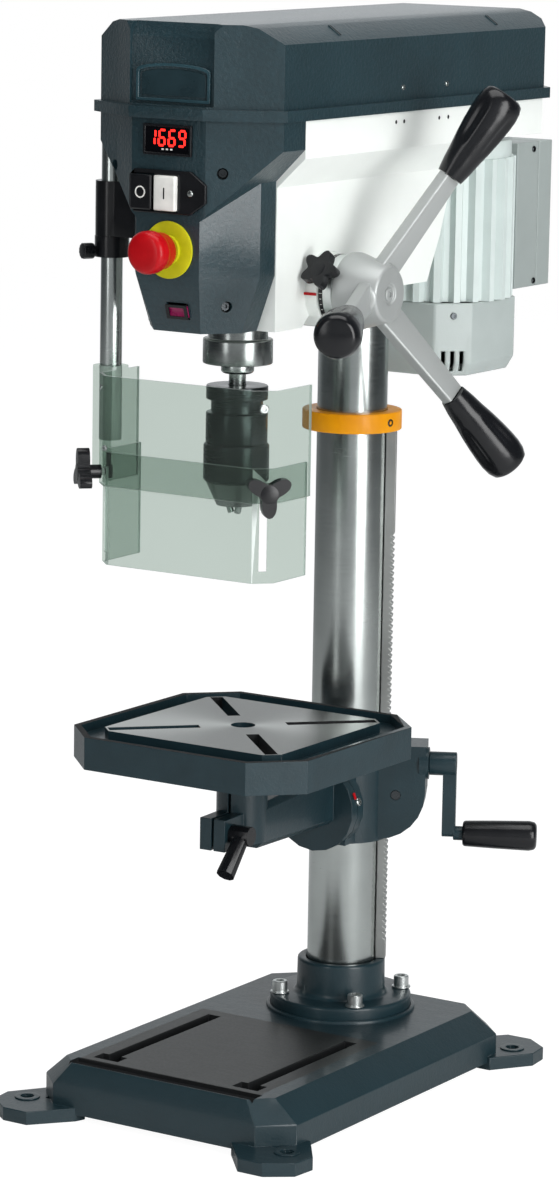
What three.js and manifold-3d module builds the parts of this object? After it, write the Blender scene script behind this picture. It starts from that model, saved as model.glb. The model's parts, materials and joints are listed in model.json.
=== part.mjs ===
// A benchtop drill press: slotted base, round column with a rack, tilting table on a cranked bracket,
// belt-driven head with a quill, a keyless chuck, feed levers and a two-part sliding guard.
// Millimetres, +Z up. The origin is where the column's axis meets the floor; the front faces -Y.
import * as THREE from 'three';
import { mergeVertices } from 'three/addons/utils/BufferGeometryUtils.js';
import Module from 'manifold-3d';

const wasm = await Module();
wasm.setup();

// Fits, cuts and roundness
const fit = 0.3;
const overrun = 2;
const wideSides = 28;
const roundSides = 18;
const smallSides = 10;
const hexSides = 6;
const boltSides = 8;
const toothSteps = 4;
const lobeSteps = 7;
const seamTolerance = 0.02;
const full = Math.PI * 2;
const degree = Math.PI / 180;

// Column and rack
const columnRadius = 36.5;
const columnWall = 5;
const columnTop = 935;
const rackDepth = 10.2;
const rackWidth = 13;
const rackTop = 681;
const toothPitch = 6.28;
const toothDepth = 3.4;
const toothStart = 20;
const toothStop = 106;
const toothValleyShare = 0.4;
const toothCrestShare = 0.8;
const ringRadius = 52;
const ringHeight = 20.3;
const ringScrewRadius = 2.6;

// Base
const baseHalfWidth = 153;
const baseFront = -354;
const baseRear = 100;
const baseCorner = 30;
const baseSkirt = 7;
const baseShoulder = 35;
const baseTop = 58;
const baseWall = 12;
const basePlate = 18;
const baseRib = 9;
const baseRibColumns = 2;
const baseRibRows = 3;
const shoulderInset = 26;
const frontInset = 9;
const rearInset = 18;
const slotSpacing = 170;
const slotWidth = 14;
const slotFront = -315;
const slotRear = -115;
const slotPocketWidth = 30;
const slotPocketLength = 17;
const grooveRear = -325;
const grooveWidth = 18;
const grooveHalfLength = 112;
const grooveDepth = 5;
const footHeight = 14;
const footReach = 39;
const footSpread = 33;
const footFlat = 25;
const footGusset = 58;
const footHoleRadius = 6;
const footHoleX = 158;
const footHoleInset = 4;
const centreBossRadius = 24;

// Column flange and its four bolts
const flangeRadius = 75;
const flangeHeight = 16;
const neckRadius = 46.5;
const neckHeight = 38;
const boltOffset = 47;
const boltRadius = 5;
const boltHeadRadius = 8;
const boltHeadHeight = 11;
const washerRadius = 10;
const washerHeight = 2;
const boltLength = 26;
const socketRadius = 4.6;
const socketDepth = 6;

// Bracket on the column, swung a little to the right as in the photograph
const tableSwing = 3.3 * degree;
const rackAngle = 24 * degree;
const bracketBottom = 246;
const bracketTop = 349;
const bracketRadius = 47;
const tiltHeight = 288;
const tiltFace = -56;
const cheekHalfWidth = 32;
const cheekBottom = 248;
const cheekTop = 335;
const housingBottom = 248;
const housingReach = 87;
const housingRound = 50;
const housingArcSteps = 6;
const housingSide = 28;
const housingFarSide = 16;
const pinionReach = 56;
const pinionHeight = 296;
const pinionHalfWidth = 6;
const rackPinionTeeth = 8;
const pinionShaftRadius = 5;
const wheelRadius = 19.5;
const wheelCentre = -14;
const wheelHalfWidth = 5.5;
const wormHeight = 329;
const wormStart = 57;
const wormEnd = 80;
const crankShaftRadius = 12.5;
const journalRadius = 8;
const wormBossRadius = 17;
const wormBossHeight = 3;
const clampBossReach = 76;
const clampBossHalfWidth = 13;
const clampBossBottom = 268;
const clampBossTop = 312;
const clampSlit = 3;
const clampAngle = 165 * degree;
const clampHubRadius = 9.6;
const clampHubLength = 24;
const clampHandleHeight = 14.4;
const clampHandleLength = 76;
const clampHandleRoot = 5.6;
const clampHandleTip = 8;
const clampHandleShares = [0.35, -0.85, 0.4];

// Crank
const crankHubStart = 105;
const crankHubEnd = 119;
const crankLength = 74.5;
const crankArmWidth = 15;
const studRadius = 5;
const studNeck = 8;
const studDepth = 62;
const gripLength = 78;
const gripSmallRadius = 13.6;
const gripLargeRadius = 15.8;
const gripEndRound = 6;

// Table arm and its clamp
const armFlangeRadius = 47;
const armFlangeThickness = 12;
const tiltStubRadius = 12;
const tiltStubLength = 14;
const tableReach = 218.3;
const armHalfWidth = 24;
const armRootBottom = 272;
const armRootTop = 328;
const armTipBottom = 277;
const armTipTop = 322;
const socketOuterRadius = 26;
const socketBottom = 284;
const socketTop = 362;
const stemRadius = 19;
const earHalfWidth = 14.5;
const earReach = 59;
const earTop = 317;
const earSlit = 3;
const earBoltGap = 18;
const earBoltDrop = 16.5;
const leverHead = 22;
const leverHubRadius = 10;
const leverHandleHeight = 12;
const leverHandleLength = 48;
const leverHandleRoot = 8;
const leverHandleTip = 9.6;
const leverHandleShares = [0.707, -0.707, 0];

// Table
const tableWidth = 280;
const tableLength = 284;
const tableCorner = 44;
const tableBottom = 369;
const tableRim = 402;
const tableFace = 403;
const rimWall = 7;
const troughDepth = 9;
const tableFloor = 10;
const faceSize = 212;
const faceCorner = 14;
const tableSlotWidth = 13;
const tableSlotStart = 45;
const tableSlotEnd = 138;
const tableHoleRadius = 12.5;
const tableStemBottom = 291;
const tableRib = 8;
const tablePocketCorner = 48;
const tableRibCount = 3;

// Head casting
const headHalfWidth = 107;
const bodyHalfWidth = 75;
const headFront = -268;
const headRear = 212;
const headBottom = 812;
const headArchY = -190;
const headArchZ = 838;
const headBackY = 20;
const headHaunchY = 44;
const headHaunchZ = 884;
const headRoofY = 82;
const trayBottom = 983;
const trayFloor = 10;
const trayTop = 1020;
const trayWall = 5;
const bodyFlare = 30;
const trayCorner = 16;
const coreHalfWidth = 66;
const coreFront = -152;
const coreRear = -46;
const coreBottom = 856;

// Quill, spindle and bearing
const spindleY = -219;
const quillRadius = 30;
const quillTop = 945;
const quillCollarRadius = 35;
const quillCollarTop = 796;
const quillCollarBottom = 771;
const quillChamfer = 2;
const quillBoreTop = 950;
const spindleRadius = 12;
const splineRadius = 9;
const spindleTop = 1058;
const noseRadius = 16.5;
const noseBottom = 761;
const arborRadius = 8.5;
const arborLength = 32;
const bearingOuter = 20;
const bearingHeight = 14;
const bearingSeat = 2;
const quillNotches = 13;
const quillNotchStart = 842;
const quillNotchDepth = 2.4;

// Keyless chuck
const chuckTop = 749;
const chuckFlangeRadius = 31;
const chuckFlangeHeight = 14;
const chuckNeckRadius = 26;
const chuckNeckHeight = 13;
const chuckCoreRadius = 25.7;
const sleeveOuter = 33;
const sleeveTop = 691;
const sleeveBottom = 652;
const chuckNoseBottom = 628;
const chuckNoseRadius = 19;
const chuckNoseShoulder = 30;
const drillHoleRadius = 6;
const drillHoleDepth = 46;
const jawCount = 3;
const jawTilt = 16 * degree;
const jawRadius = 3.4;
const jawTipRadius = 4.3;
const jawTip = 620;
const jawLength = 40;
const jawTravel = 20;

// Feed shaft, hub and levers
const feedY = -177;
const feedZ = 847;
const feedPinionRadius = 11.6;
const feedPinionHalfWidth = 14;
const feedBoreRadius = 12;
const feedShaftRadius = 9;
const feedTeeth = 12;
const feedBossRadius = 38;
const feedBossHeight = 13;
const ringGap = 16;
const hubNeckRadius = 14;
const hubRearRadius = 39;
const hubFrontRadius = 28;
const hubFace = 151;
const leverCount = 3;
const leverPhase = 64.4 * degree;
const leverCone = 24.1 * degree;
const leverRootX = 126;
const leverWidth = 29;
const leverEndWidth = 21;
const leverThickness = 12;
const leverEdge = 2.5;
const leverSocketRadius = 17;
const leverSocketEnd = 52;
const leverEnd = 139;
const leverTipRadius = 6;
const leverTipLength = 30;
const feedGripLength = 97;
const feedGripSmall = 12.5;
const feedGripLarge = 23;
const feedGripRound = 8;
const feedGripShares = [[0.68, 0.25], [0.88, 0.6], [1, 0.83], [0.95, 0.92]];

// Depth stop
const depthRingRadius = 36;
const depthKnobAngle = 151 * degree;
const depthKnobLobes = 5;
const depthKnobStem = 8;
const depthKnobSink = 10;
const depthKnobRadius = 20.3;
const depthKnobWaist = 12.5;
const depthKnobThickness = 11;
const knobStemRadius = 4;

// Return spring
const springCupRadius = 37;
const springCupWall = 3;
const springCupLength = 25;
const springThickness = 1.2;
const springWidth = 13;
const springTurns = 3.5;
const springStepsPerTurn = 12;

// Drive
const pulleyDrop = 15;
const pulleyBottom = trayTop - pulleyDrop;
const stepHeight = 15;
const pulleyClearance = 4;
const grooveDepthV = 5;
const motorSteps = [42, 34, 26];
const idlerSteps = [26, 34, 42];
const spindleSteps = [51, 43, 35.6];
const motorBeltStep = 1;
const spindleBeltStep = 2;
const driveSleeveRadius = 17;
const driveSleeveBottom = 954;
const idlerY = -32;
const idlerPostRadius = 8;
const idlerPostRise = 6;
const idlerPivotX = 58;
const idlerPivotY = -4;
const idlerArmHeight = 7;
const idlerArmRadius = 15;
const idlerBarHalf = 12;
const beltWidth = 7.6;
const beltHeight = 4.5;
const beltLift = 0.4;
const beltArcSteps = 12;

// Motor
const motorY = 162;
const motorShaftRadius = 9.5;
const motorShaftSeat = 17;
const motorShaftRoom = 19;
const motorPadHeight = 8.3;
const motorTop = trayBottom - motorPadHeight;
const motorLength = 167.7;
const motorPadRadius = 46;
const motorBellHeight = 18;
const motorBellRadius = 79;
const motorFinRadius = 83.5;
const motorCoreRadius = 75;
const motorHollowRadius = 54;
const motorHollowCrown = 8;
const motorFins = 24;
const finLeanShare = 0.25;
const fanTop = motorTop - motorLength;
const fanHeight = 78;
const fanBottom = fanTop - fanHeight;
const fanHalf = 74;
const fanCorner = 29;
const fanTaper = 7;
const fanTaperHeight = 14;
const fanWall = 3;
const ventCount = 3;
const ventWidth = 4;
const ventHeight = 22;
const ventPitch = 10;
const ventRise = 5;
const boxHalfWidth = 50;
const boxDepth = 75;
const boxDrop = 8.7;
const boxTop = motorTop - boxDrop;
const boxHeight = 157;
const boxBottom = boxTop - boxHeight;
const boxSplit = 45;
const boxGroove = 2;
const boxWall = 6;
const boxNeckHalf = 16;
const boxPadHalfWidth = 36;
const boxPadMargin = 14;
const boxPadRear = 246.5;

// Front cover, seen from above: a bowed front with cut corners
const coverFront = -346;
const coverCentreHalf = 43;
const coverBowHalf = 73;
const coverBowY = -327;
const coverCornerY = -308;
const coverWall = 3.5;
const coverThroatHalf = 37;
const coverThroatSide = 74;
const coverThroatY = -295;
const coverThroatTop = 960;
const coverWideBottom = 923;
const coverWideShoulder = 992;
const coverThroatBend = 868;
const coverToeHalf = 54;
const coverToeFrontHalf = 27.5;
const coverToeSetback = 18.5;
const wellRadius = 5.8;
const wellWall = 2.4;
const wellDepth = 9;
const wellLength = 12;
const wellHigh = 970;
const wellLow = 839;
const wellLeftX = 78;
const wellRightX = 57;
const wellToeX = 49;

// Belt cover
const lidRimOut = 6;
const lidRimHeight = 11;
const lidHeight = 92;
const lidShoulderDrop = 18;
const lidEdgeHalf = 85;
const lidEdgeDrop = 3;
const lidCrownHalf = 72;
const lidFrontEase = 10;
const lidFrontDrop = 14;
const lidRearEase = 10;
const lidRearCorner = 14;
const lidRecessHalf = 49;
const lidRecessDepth = 8;
const lidRecessLift = 2;
const hingeX = -118;
const hingeDrop = 7;
const hingePinRadius = 2.5;
const hingeKnuckleRadius = 6;
const hingeLength = 16;
const hingeStations = [-150, 100];

// Controls on the front cover
const displayHalfWidth = 28;
const displayDrop = 5;
const displayHeight = 30;
const displayThickness = 3;
const displayBezel = 2.5;
const plateThickness = 4;
const plateLeft = -43;
const plateRight = 46;
const plateBottom = 929;
const plateTop = 971;
const plateCut = 12;
const plateNotch = 18;
const buttonBottom = 932;
const buttonTop = 966;
const buttonWidth = 25;
const buttonProud = 5;
const buttonFloor = 2.7;
const stopLeft = -39;
const startLeft = -11.3;
const estopX = 2;
const estopZ = 894;
const estopDiscRadius = 28;
const estopDiscThickness = 2;
const estopStemRadius = 9;
const estopStemBack = 8;
const estopHeadBack = 12;
const estopHeadRadius = 21;
const estopHeadLength = 33;
const estopHeadRound = 5;
const lampX = 6;
const lampZ = 832;
const lampHalfWidth = 12;
const lampHalfHeight = 7;
const lampProud = 3;
const lampBack = 6;
const lampClearance = 1.6;

// Guard
const guardPostX = -127;
const guardPostY = -258;
const guardPostRadius = 11;
const guardPostTop = 1004;
const guardPostBottom = 687;
const guardBlockTop = 948;
const guardBlockBottom = 893;
const guardBlockHalf = 17;
const guardBlockCorner = 13;
const guardCollarHeight = 21;
const guardCollarRadius = 17.5;
const guardKnobTurn = 30 * degree;
const guardKnobDrop = 4;
const guardKnobStem = 4;
const guardKnobRadius = 8;
const guardKnobLength = 12;
const shieldWall = 3;
const shieldRight = 97.3;
const shieldFront = -311;
const shieldRearLeft = -228;
const shieldRearRight = -233;
const postSocketWall = 7;
const postSocketBottom = 655;
const postSocketTop = 762;
const shieldCorner = 18;
const shieldTop = 759;
const shieldBottom = 648;
const shieldGap = 0.6;
const lowerTop = 682;
const lowerBottom = 568;
const knobHeight = 661;
const shieldSlotWidth = 8;
const shieldSlotTop = 666;
const shieldSlotBottom = 580;
const shieldStemRadius = 3;
const shieldNutRadius = 7;
const shieldNutThickness = 4;
const shieldKnobLobes = 3;
const shieldKnobRoll = -45 * degree;
const shieldKnobStand = 12;
const shieldKnobRadius = 24;
const shieldKnobWaist = 10;
const shieldKnobThickness = 13;

// Finishes
const finish = (color, roughness, metalness, extra = {}) =>
  new THREE.MeshStandardMaterial({ color, roughness, metalness, ...extra });
const paint = finish(0x37444d, 0.5, 0.1);
const whitePaint = finish(0xe6eae6, 0.45, 0.05);
const greyPaint = finish(0xa9b6b4, 0.5, 0.2);
const steel = finish(0xb9bfbd, 0.3, 0.9);
const machined = finish(0x8d8f8c, 0.35, 0.8);
const darkSteel = finish(0x2a2d30, 0.4, 0.7);
const aluminium = finish(0xc2c8c5, 0.35, 0.7);
const black = finish(0x16181b, 0.4, 0);
const orange = finish(0xf79a10, 0.45, 0);
const red = finish(0xd90f22, 0.35, 0);
const yellow = finish(0xd6d414, 0.5, 0);
const white = finish(0xe9ebe6, 0.4, 0);
const magenta = finish(0xa01f5c, 0.4, 0);
const rubber = finish(0x1b1b1b, 0.8, 0);
const clearPlastic = finish(0xb7c4bf, 0.15, 0, { transparent: true, opacity: 0.45 });

// A closed geometry as a solid, with its faces turned outwards
function solid(geometry) {
  const bare = geometry.clone();
  bare.deleteAttribute('normal');
  bare.deleteAttribute('uv');
  const merged = mergeVertices(bare);
  const points = merged.attributes.position.array;
  const index = merged.index.array;
  const corners = [];
  let volume = 0;
  for (let i = 0; i < index.length; i += 3) {
    const [a, b, c] = [index[i], index[i + 1], index[i + 2]];
    if (a === b || b === c || c === a) continue;
    corners.push([a, b, c]);
    const [p, q, r] = [a, b, c].map((k) => new THREE.Vector3().fromArray(points, k * 3));
    volume += p.dot(q.cross(r));
  }
  const turned = volume < 0 ? corners.map(([a, b, c]) => [a, c, b]) : corners;
  const mesh = new wasm.Mesh({
    numProp: 3,
    vertProperties: Float32Array.from(points),
    triVerts: Uint32Array.from(turned.flat()),
  });
  return new wasm.Manifold(mesh);
}

// A solid back as a geometry
function geometryOf(body) {
  const data = body.getMesh();
  const geometry = new THREE.BufferGeometry();
  geometry.setAttribute('position', new THREE.BufferAttribute(Float32Array.from(data.vertProperties), 3));
  geometry.setIndex(new THREE.BufferAttribute(Uint32Array.from(data.triVerts), 1));
  return geometry;
}

const join = (...parts) => parts.reduce((whole, part) => whole.add(part));
const carve = (body, ...cutters) => cutters.reduce((whole, cutter) => whole.subtract(cutter), body);

function block([x0, x1], [y0, y1], [z0, z1]) {
  const size = [x1 - x0, y1 - y0, z1 - z0];
  return new THREE.BoxGeometry(...size).translate((x0 + x1) / 2, (y0 + y1) / 2, (z0 + z1) / 2);
}

// An outline in x and y, drawn up from the first height to the second
function prism(outline, [z0, z1]) {
  const shape = new THREE.Shape(outline.map(([x, y]) => new THREE.Vector2(x, y)));
  return new THREE.ExtrudeGeometry(shape, { depth: z1 - z0, bevelEnabled: false }).translate(0, 0, z0);
}

// An outline in y and z, drawn along x; and one in x and z, drawn along y
const sidePrism = (outline, [x0, x1]) => prism(outline, [x0, x1]).applyMatrix4(yzx);
const frontPrism = (outline, [y0, y1]) => prism(outline, [-y1, -y0]).rotateX(Math.PI / 2);
const yzx = new THREE.Matrix4().makeBasis(
  new THREE.Vector3(0, 1, 0), new THREE.Vector3(0, 0, 1), new THREE.Vector3(1, 0, 0));

// A radius and height profile turned about z
function turned(profile, sides = roundSides) {
  const points = profile.map(([r, z]) => new THREE.Vector2(r, z));
  return new THREE.LatheGeometry(points, sides).rotateX(Math.PI / 2);
}

function rod(radius, [z0, z1], sides = roundSides, topRadius = radius) {
  const bar = new THREE.CylinderGeometry(topRadius, radius, z1 - z0, sides);
  return bar.rotateX(Math.PI / 2).translate(0, 0, (z0 + z1) / 2);
}

// The corner radius of a hole whose flats clear a shaft by the fit
const bored = (radius, sides) => (radius + fit) / Math.cos(Math.PI / sides);

const tube = (inner, outer, [z0, z1], sides = roundSides) =>
  turned([[inner, z0], [outer, z0], [outer, z1], [inner, z1], [inner, z0]], sides);

// Convex outlines of equally many points, joined one above the other
function loft(sections) {
  const count = sections[0].outline.length;
  const points = sections.flatMap(({ z, outline }) => outline.map(([x, y]) => [x, y, z]));
  const faces = [];
  for (let s = 0; s + 1 < sections.length; s += 1) {
    for (let i = 0; i < count; i += 1) {
      const j = (i + 1) % count;
      const [a, b, c, d] = [s * count + i, s * count + j, (s + 1) * count + j, (s + 1) * count + i];
      faces.push([a, b, c], [a, c, d]);
    }
  }
  const last = (sections.length - 1) * count;
  for (let i = 1; i + 1 < count; i += 1) {
    faces.push([0, i + 1, i], [last, last + i, last + i + 1]);
  }
  const geometry = new THREE.BufferGeometry();
  geometry.setAttribute('position', new THREE.Float32BufferAttribute(points.flat(), 3));
  geometry.setIndex(faces.flat());
  return geometry;
}

// Turns what was made along z to lie along another direction, from a given point
function aim(geometry, direction, origin = [0, 0, 0], roll = 0) {
  const way = new THREE.Vector3(...direction).normalize();
  const turn = new THREE.Quaternion().setFromUnitVectors(new THREE.Vector3(0, 0, 1), way);
  return geometry.rotateZ(roll).applyQuaternion(turn).translate(...origin);
}

const alongX = (geometry, [x, y, z] = [0, 0, 0]) => geometry.rotateY(Math.PI / 2).translate(x, y, z);
const alongY = (geometry, [x, y, z] = [0, 0, 0]) => geometry.rotateX(-Math.PI / 2).translate(x, y, z);

// A rectangle with its corners cut at 45 degrees
function cutRectangle([x0, x1], [y0, y1], cut) {
  return [[x0 + cut, y0], [x1 - cut, y0], [x1, y0 + cut], [x1, y1 - cut],
    [x1 - cut, y1], [x0 + cut, y1], [x0, y1 - cut], [x0, y0 + cut]];
}

// A star knob's outline: lobes swell from the waist to the full radius
function starOutline(lobes, waist, radius, steps) {
  return Array.from({ length: lobes * steps }, (_, i) => {
    const angle = (i / (lobes * steps)) * full;
    const r = waist + (radius - waist) * (1 + Math.cos(lobes * angle)) / 2;
    return [r * Math.cos(angle), r * Math.sin(angle)];
  });
}

// Pockets in a grid with ribs between them
function ribPockets([x0, x1], [y0, y1], [z0, z1], columns, rows, rib) {
  const width = (x1 - x0 - rib * (columns - 1)) / columns;
  const length = (y1 - y0 - rib * (rows - 1)) / rows;
  const pockets = [];
  for (let i = 0; i < columns; i += 1) {
    for (let j = 0; j < rows; j += 1) {
      const x = x0 + i * (width + rib);
      const y = y0 + j * (length + rib);
      pockets.push(solid(block([x, x + width], [y, y + length], [z0, z1])));
    }
  }
  return pockets;
}

const press = new THREE.Group();
const swingGroup = new THREE.Group();
swingGroup.rotation.z = tableSwing;
press.add(swingGroup);

function place(name, body, material, group = press) {
  const geometry = geometryOf(body.asOriginal().simplify(seamTolerance));
  geometry.computeVertexNormals();
  const mesh = new THREE.Mesh(geometry, material);
  mesh.name = name;
  group.add(mesh);
  return mesh;
}

// Base casting: skirt, sloped shoulders, four bolt-down feet, two slots and a ribbed underside
function makeBase() {
  const skirt = cutRectangle([-baseHalfWidth, baseHalfWidth], [baseFront, baseRear], baseCorner);
  const plateauHalf = baseHalfWidth - shoulderInset;
  const plateau = cutRectangle([-plateauHalf, plateauHalf],
    [baseFront + frontInset, baseRear - rearInset], baseCorner - frontInset);
  const body = solid(loft([{ z: baseSkirt, outline: skirt }, { z: baseShoulder, outline: skirt },
    { z: baseTop, outline: plateau }]));

  const pocketTop = baseTop - basePlate;
  const pockets = ribPockets([-baseHalfWidth + baseWall, baseHalfWidth - baseWall],
    [baseFront + baseWall, baseRear - baseWall], [baseSkirt - overrun, pocketTop],
    baseRibColumns, baseRibRows, baseRib);
  const cornerGuards = [];
  const middle = (baseFront + baseRear) / 2;
  const halfLength = (baseRear - baseFront) / 2;
  const guardSize = baseCorner + baseWall;
  for (const sx of [-1, 1]) {
    for (const sy of [-1, 1]) {
      const corner = [[sx * baseHalfWidth, middle + sy * halfLength],
        [sx * (baseHalfWidth - guardSize), middle + sy * halfLength],
        [sx * baseHalfWidth, middle + sy * (halfLength - guardSize)]];
      cornerGuards.push(solid(prism(corner, [baseSkirt, pocketTop])));
    }
  }
  const inside = carve(join(...pockets), ...cornerGuards);

  const foot = (sx, sy) => {
    const edge = halfLength;
    const wall = baseHalfWidth;
    const outline = [[wall - footGusset, edge], [wall - footFlat, edge + footReach],
      [wall + footHoleInset, edge + footReach], [wall + baseCorner, edge + footReach / 2],
      [wall + footSpread, edge - footHoleInset * 2],
      [wall + footHoleInset, edge - baseCorner - footReach / 2],
      [wall - baseWall, edge - baseCorner - footReach / 2], [wall - baseWall, edge - baseWall],
      [wall - footGusset - footHoleInset, edge - baseWall]];
    const placed = outline.map(([x, y]) => [sx * x, middle + sy * y]);
    return solid(prism(placed, [0, footHeight]));
  };
  const hole = (sx, sy) => solid(rod(footHoleRadius, [-overrun, footHeight + overrun], boltSides)
    .translate(sx * footHoleX, middle + sy * (halfLength - footHoleInset), 0));
  const feet = [-1, 1].flatMap((sx) => [-1, 1].map((sy) => foot(sx, sy)));
  const holes = [-1, 1].flatMap((sx) => [-1, 1].map((sy) => hole(sx, sy)));

  const slots = [-1, 1].map((side) => {
    const x = side * slotSpacing / 2;
    const [w, p] = [slotWidth / 2, slotPocketWidth / 2];
    const outline = [[x - p, slotFront], [x + p, slotFront], [x + p, slotFront + slotPocketLength],
      [x + w, slotFront + slotPocketLength], [x + w, slotRear], [x - w, slotRear],
      [x - w, slotFront + slotPocketLength], [x - p, slotFront + slotPocketLength]];
    return solid(prism(outline, [pocketTop - overrun, baseTop + overrun]));
  });
  const groove = solid(block([-grooveHalfLength, grooveHalfLength], [grooveRear - grooveWidth, grooveRear],
    [baseTop - grooveDepth, baseTop + overrun]));
  const boltHoles = boltPlaces().map(([x, y]) =>
    solid(rod(bored(boltRadius, boltSides), [pocketTop - overrun, baseTop + overrun], boltSides)
      .translate(x, y, 0)));
  const boss = solid(rod(centreBossRadius, [0, pocketTop + overrun], roundSides));
  const pads = boltPlaces().map(([x, y]) =>
    solid(rod(boltHeadRadius + washerHeight, [pocketTop - boltRadius, pocketTop + overrun], boltSides)
      .translate(x, y, 0)));
  const cast = join(carve(body, inside), ...feet, boss, ...pads);
  return carve(cast, ...slots, groove, ...holes, ...boltHoles);
}

function boltPlaces() {
  return [[-1, -1], [1, -1], [1, 1], [-1, 1]].map(([sx, sy]) => [sx * boltOffset, sy * boltOffset]);
}

const flangeBottom = baseTop + fit;
const flangeTop = flangeBottom + flangeHeight;
const neckTop = flangeTop + neckHeight;
const columnBore = bored(columnRadius, wideSides);

function makeFlange() {
  const bore = columnBore;
  const ease = washerHeight;
  const profile = [[bore, flangeBottom], [flangeRadius - ease, flangeBottom],
    [flangeRadius, flangeBottom + ease], [flangeRadius, flangeTop], [neckRadius, flangeTop],
    [neckRadius, neckTop], [bore, neckTop], [bore, flangeBottom]];
  const holes = boltPlaces().map(([x, y]) =>
    solid(rod(bored(boltRadius, boltSides), [flangeBottom - overrun, flangeTop + overrun], boltSides)
      .translate(x, y, 0)));
  return carve(solid(turned(profile, wideSides)), ...holes);
}

function makeFlangeBolt([x, y]) {
  const seat = flangeTop + fit;
  const head = seat + washerHeight;
  const top = head + boltHeadHeight;
  const profile = [[0, seat - boltLength], [boltRadius, seat - boltLength], [boltRadius, seat],
    [washerRadius, seat], [washerRadius, head], [boltHeadRadius, head], [boltHeadRadius, top], [0, top]];
  const socket = solid(rod(socketRadius, [top - socketDepth, top + overrun], hexSides));
  return carve(solid(turned(profile, smallSides)), socket).translate([x, y, 0]);
}

place('base_casting', makeBase(), paint);
place('column_flange', makeFlange(), paint);
boltPlaces().forEach((spot, i) => place(`flange_bolt_${i + 1}`, makeFlangeBolt(spot), steel));
place('column_tube', solid(tube(columnRadius - columnWall, columnRadius, [flangeBottom, columnTop],
  wideSides)),
  steel);

// Rack: a bar with teeth on its outer edge, held between the flange neck and the ring
const rackBottom = neckTop + fit;
const rackInner = columnBore;
const rackOuter = rackInner + rackDepth;

function makeRack() {
  const outline = [[rackInner, rackBottom], [rackOuter, rackBottom]];
  const first = rackBottom + toothStart;
  const teeth = Math.floor((rackTop - toothStop - first) / toothPitch);
  for (let i = 0; i < teeth; i += 1) {
    const z = first + i * toothPitch;
    outline.push([rackOuter, z], [rackOuter - toothDepth, z + toothPitch * toothValleyShare],
      [rackOuter, z + toothPitch * toothCrestShare]);
  }
  outline.push([rackOuter, rackTop - toothDepth], [rackOuter - toothDepth, rackTop], [rackInner, rackTop]);
  const bar = frontPrism(outline, [-rackWidth / 2, rackWidth / 2]);
  return solid(bar.rotateZ(rackAngle));
}
place('table_rack', makeRack(), machined, swingGroup);

const ringBottom = rackTop + fit;
const ringScrew = solid(alongX(rod(ringScrewRadius, [columnRadius, ringRadius + overrun], boltSides),
  [0, 0, ringBottom + ringHeight / 2]));
place('rack_ring', carve(solid(tube(columnBore, ringRadius, [ringBottom, ringBottom + ringHeight],
  wideSides)),
  ringScrew), orange);

// Directions that the rack housing is built on: out along the rack, and across it
const out = [Math.cos(rackAngle), Math.sin(rackAngle)];
const across = [-Math.sin(rackAngle), Math.cos(rackAngle)];
const housingPoint = (reach, side, z) =>
  [out[0] * reach + across[0] * side, out[1] * reach + across[1] * side, z];
const outward = [out[0], out[1], 0];
const sideways = [across[0], across[1], 0];
const wormRadius = wormHeight - pinionHeight - wheelRadius - fit * 2;
const pinionRadius = pinionReach - rackOuter - fit;

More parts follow.
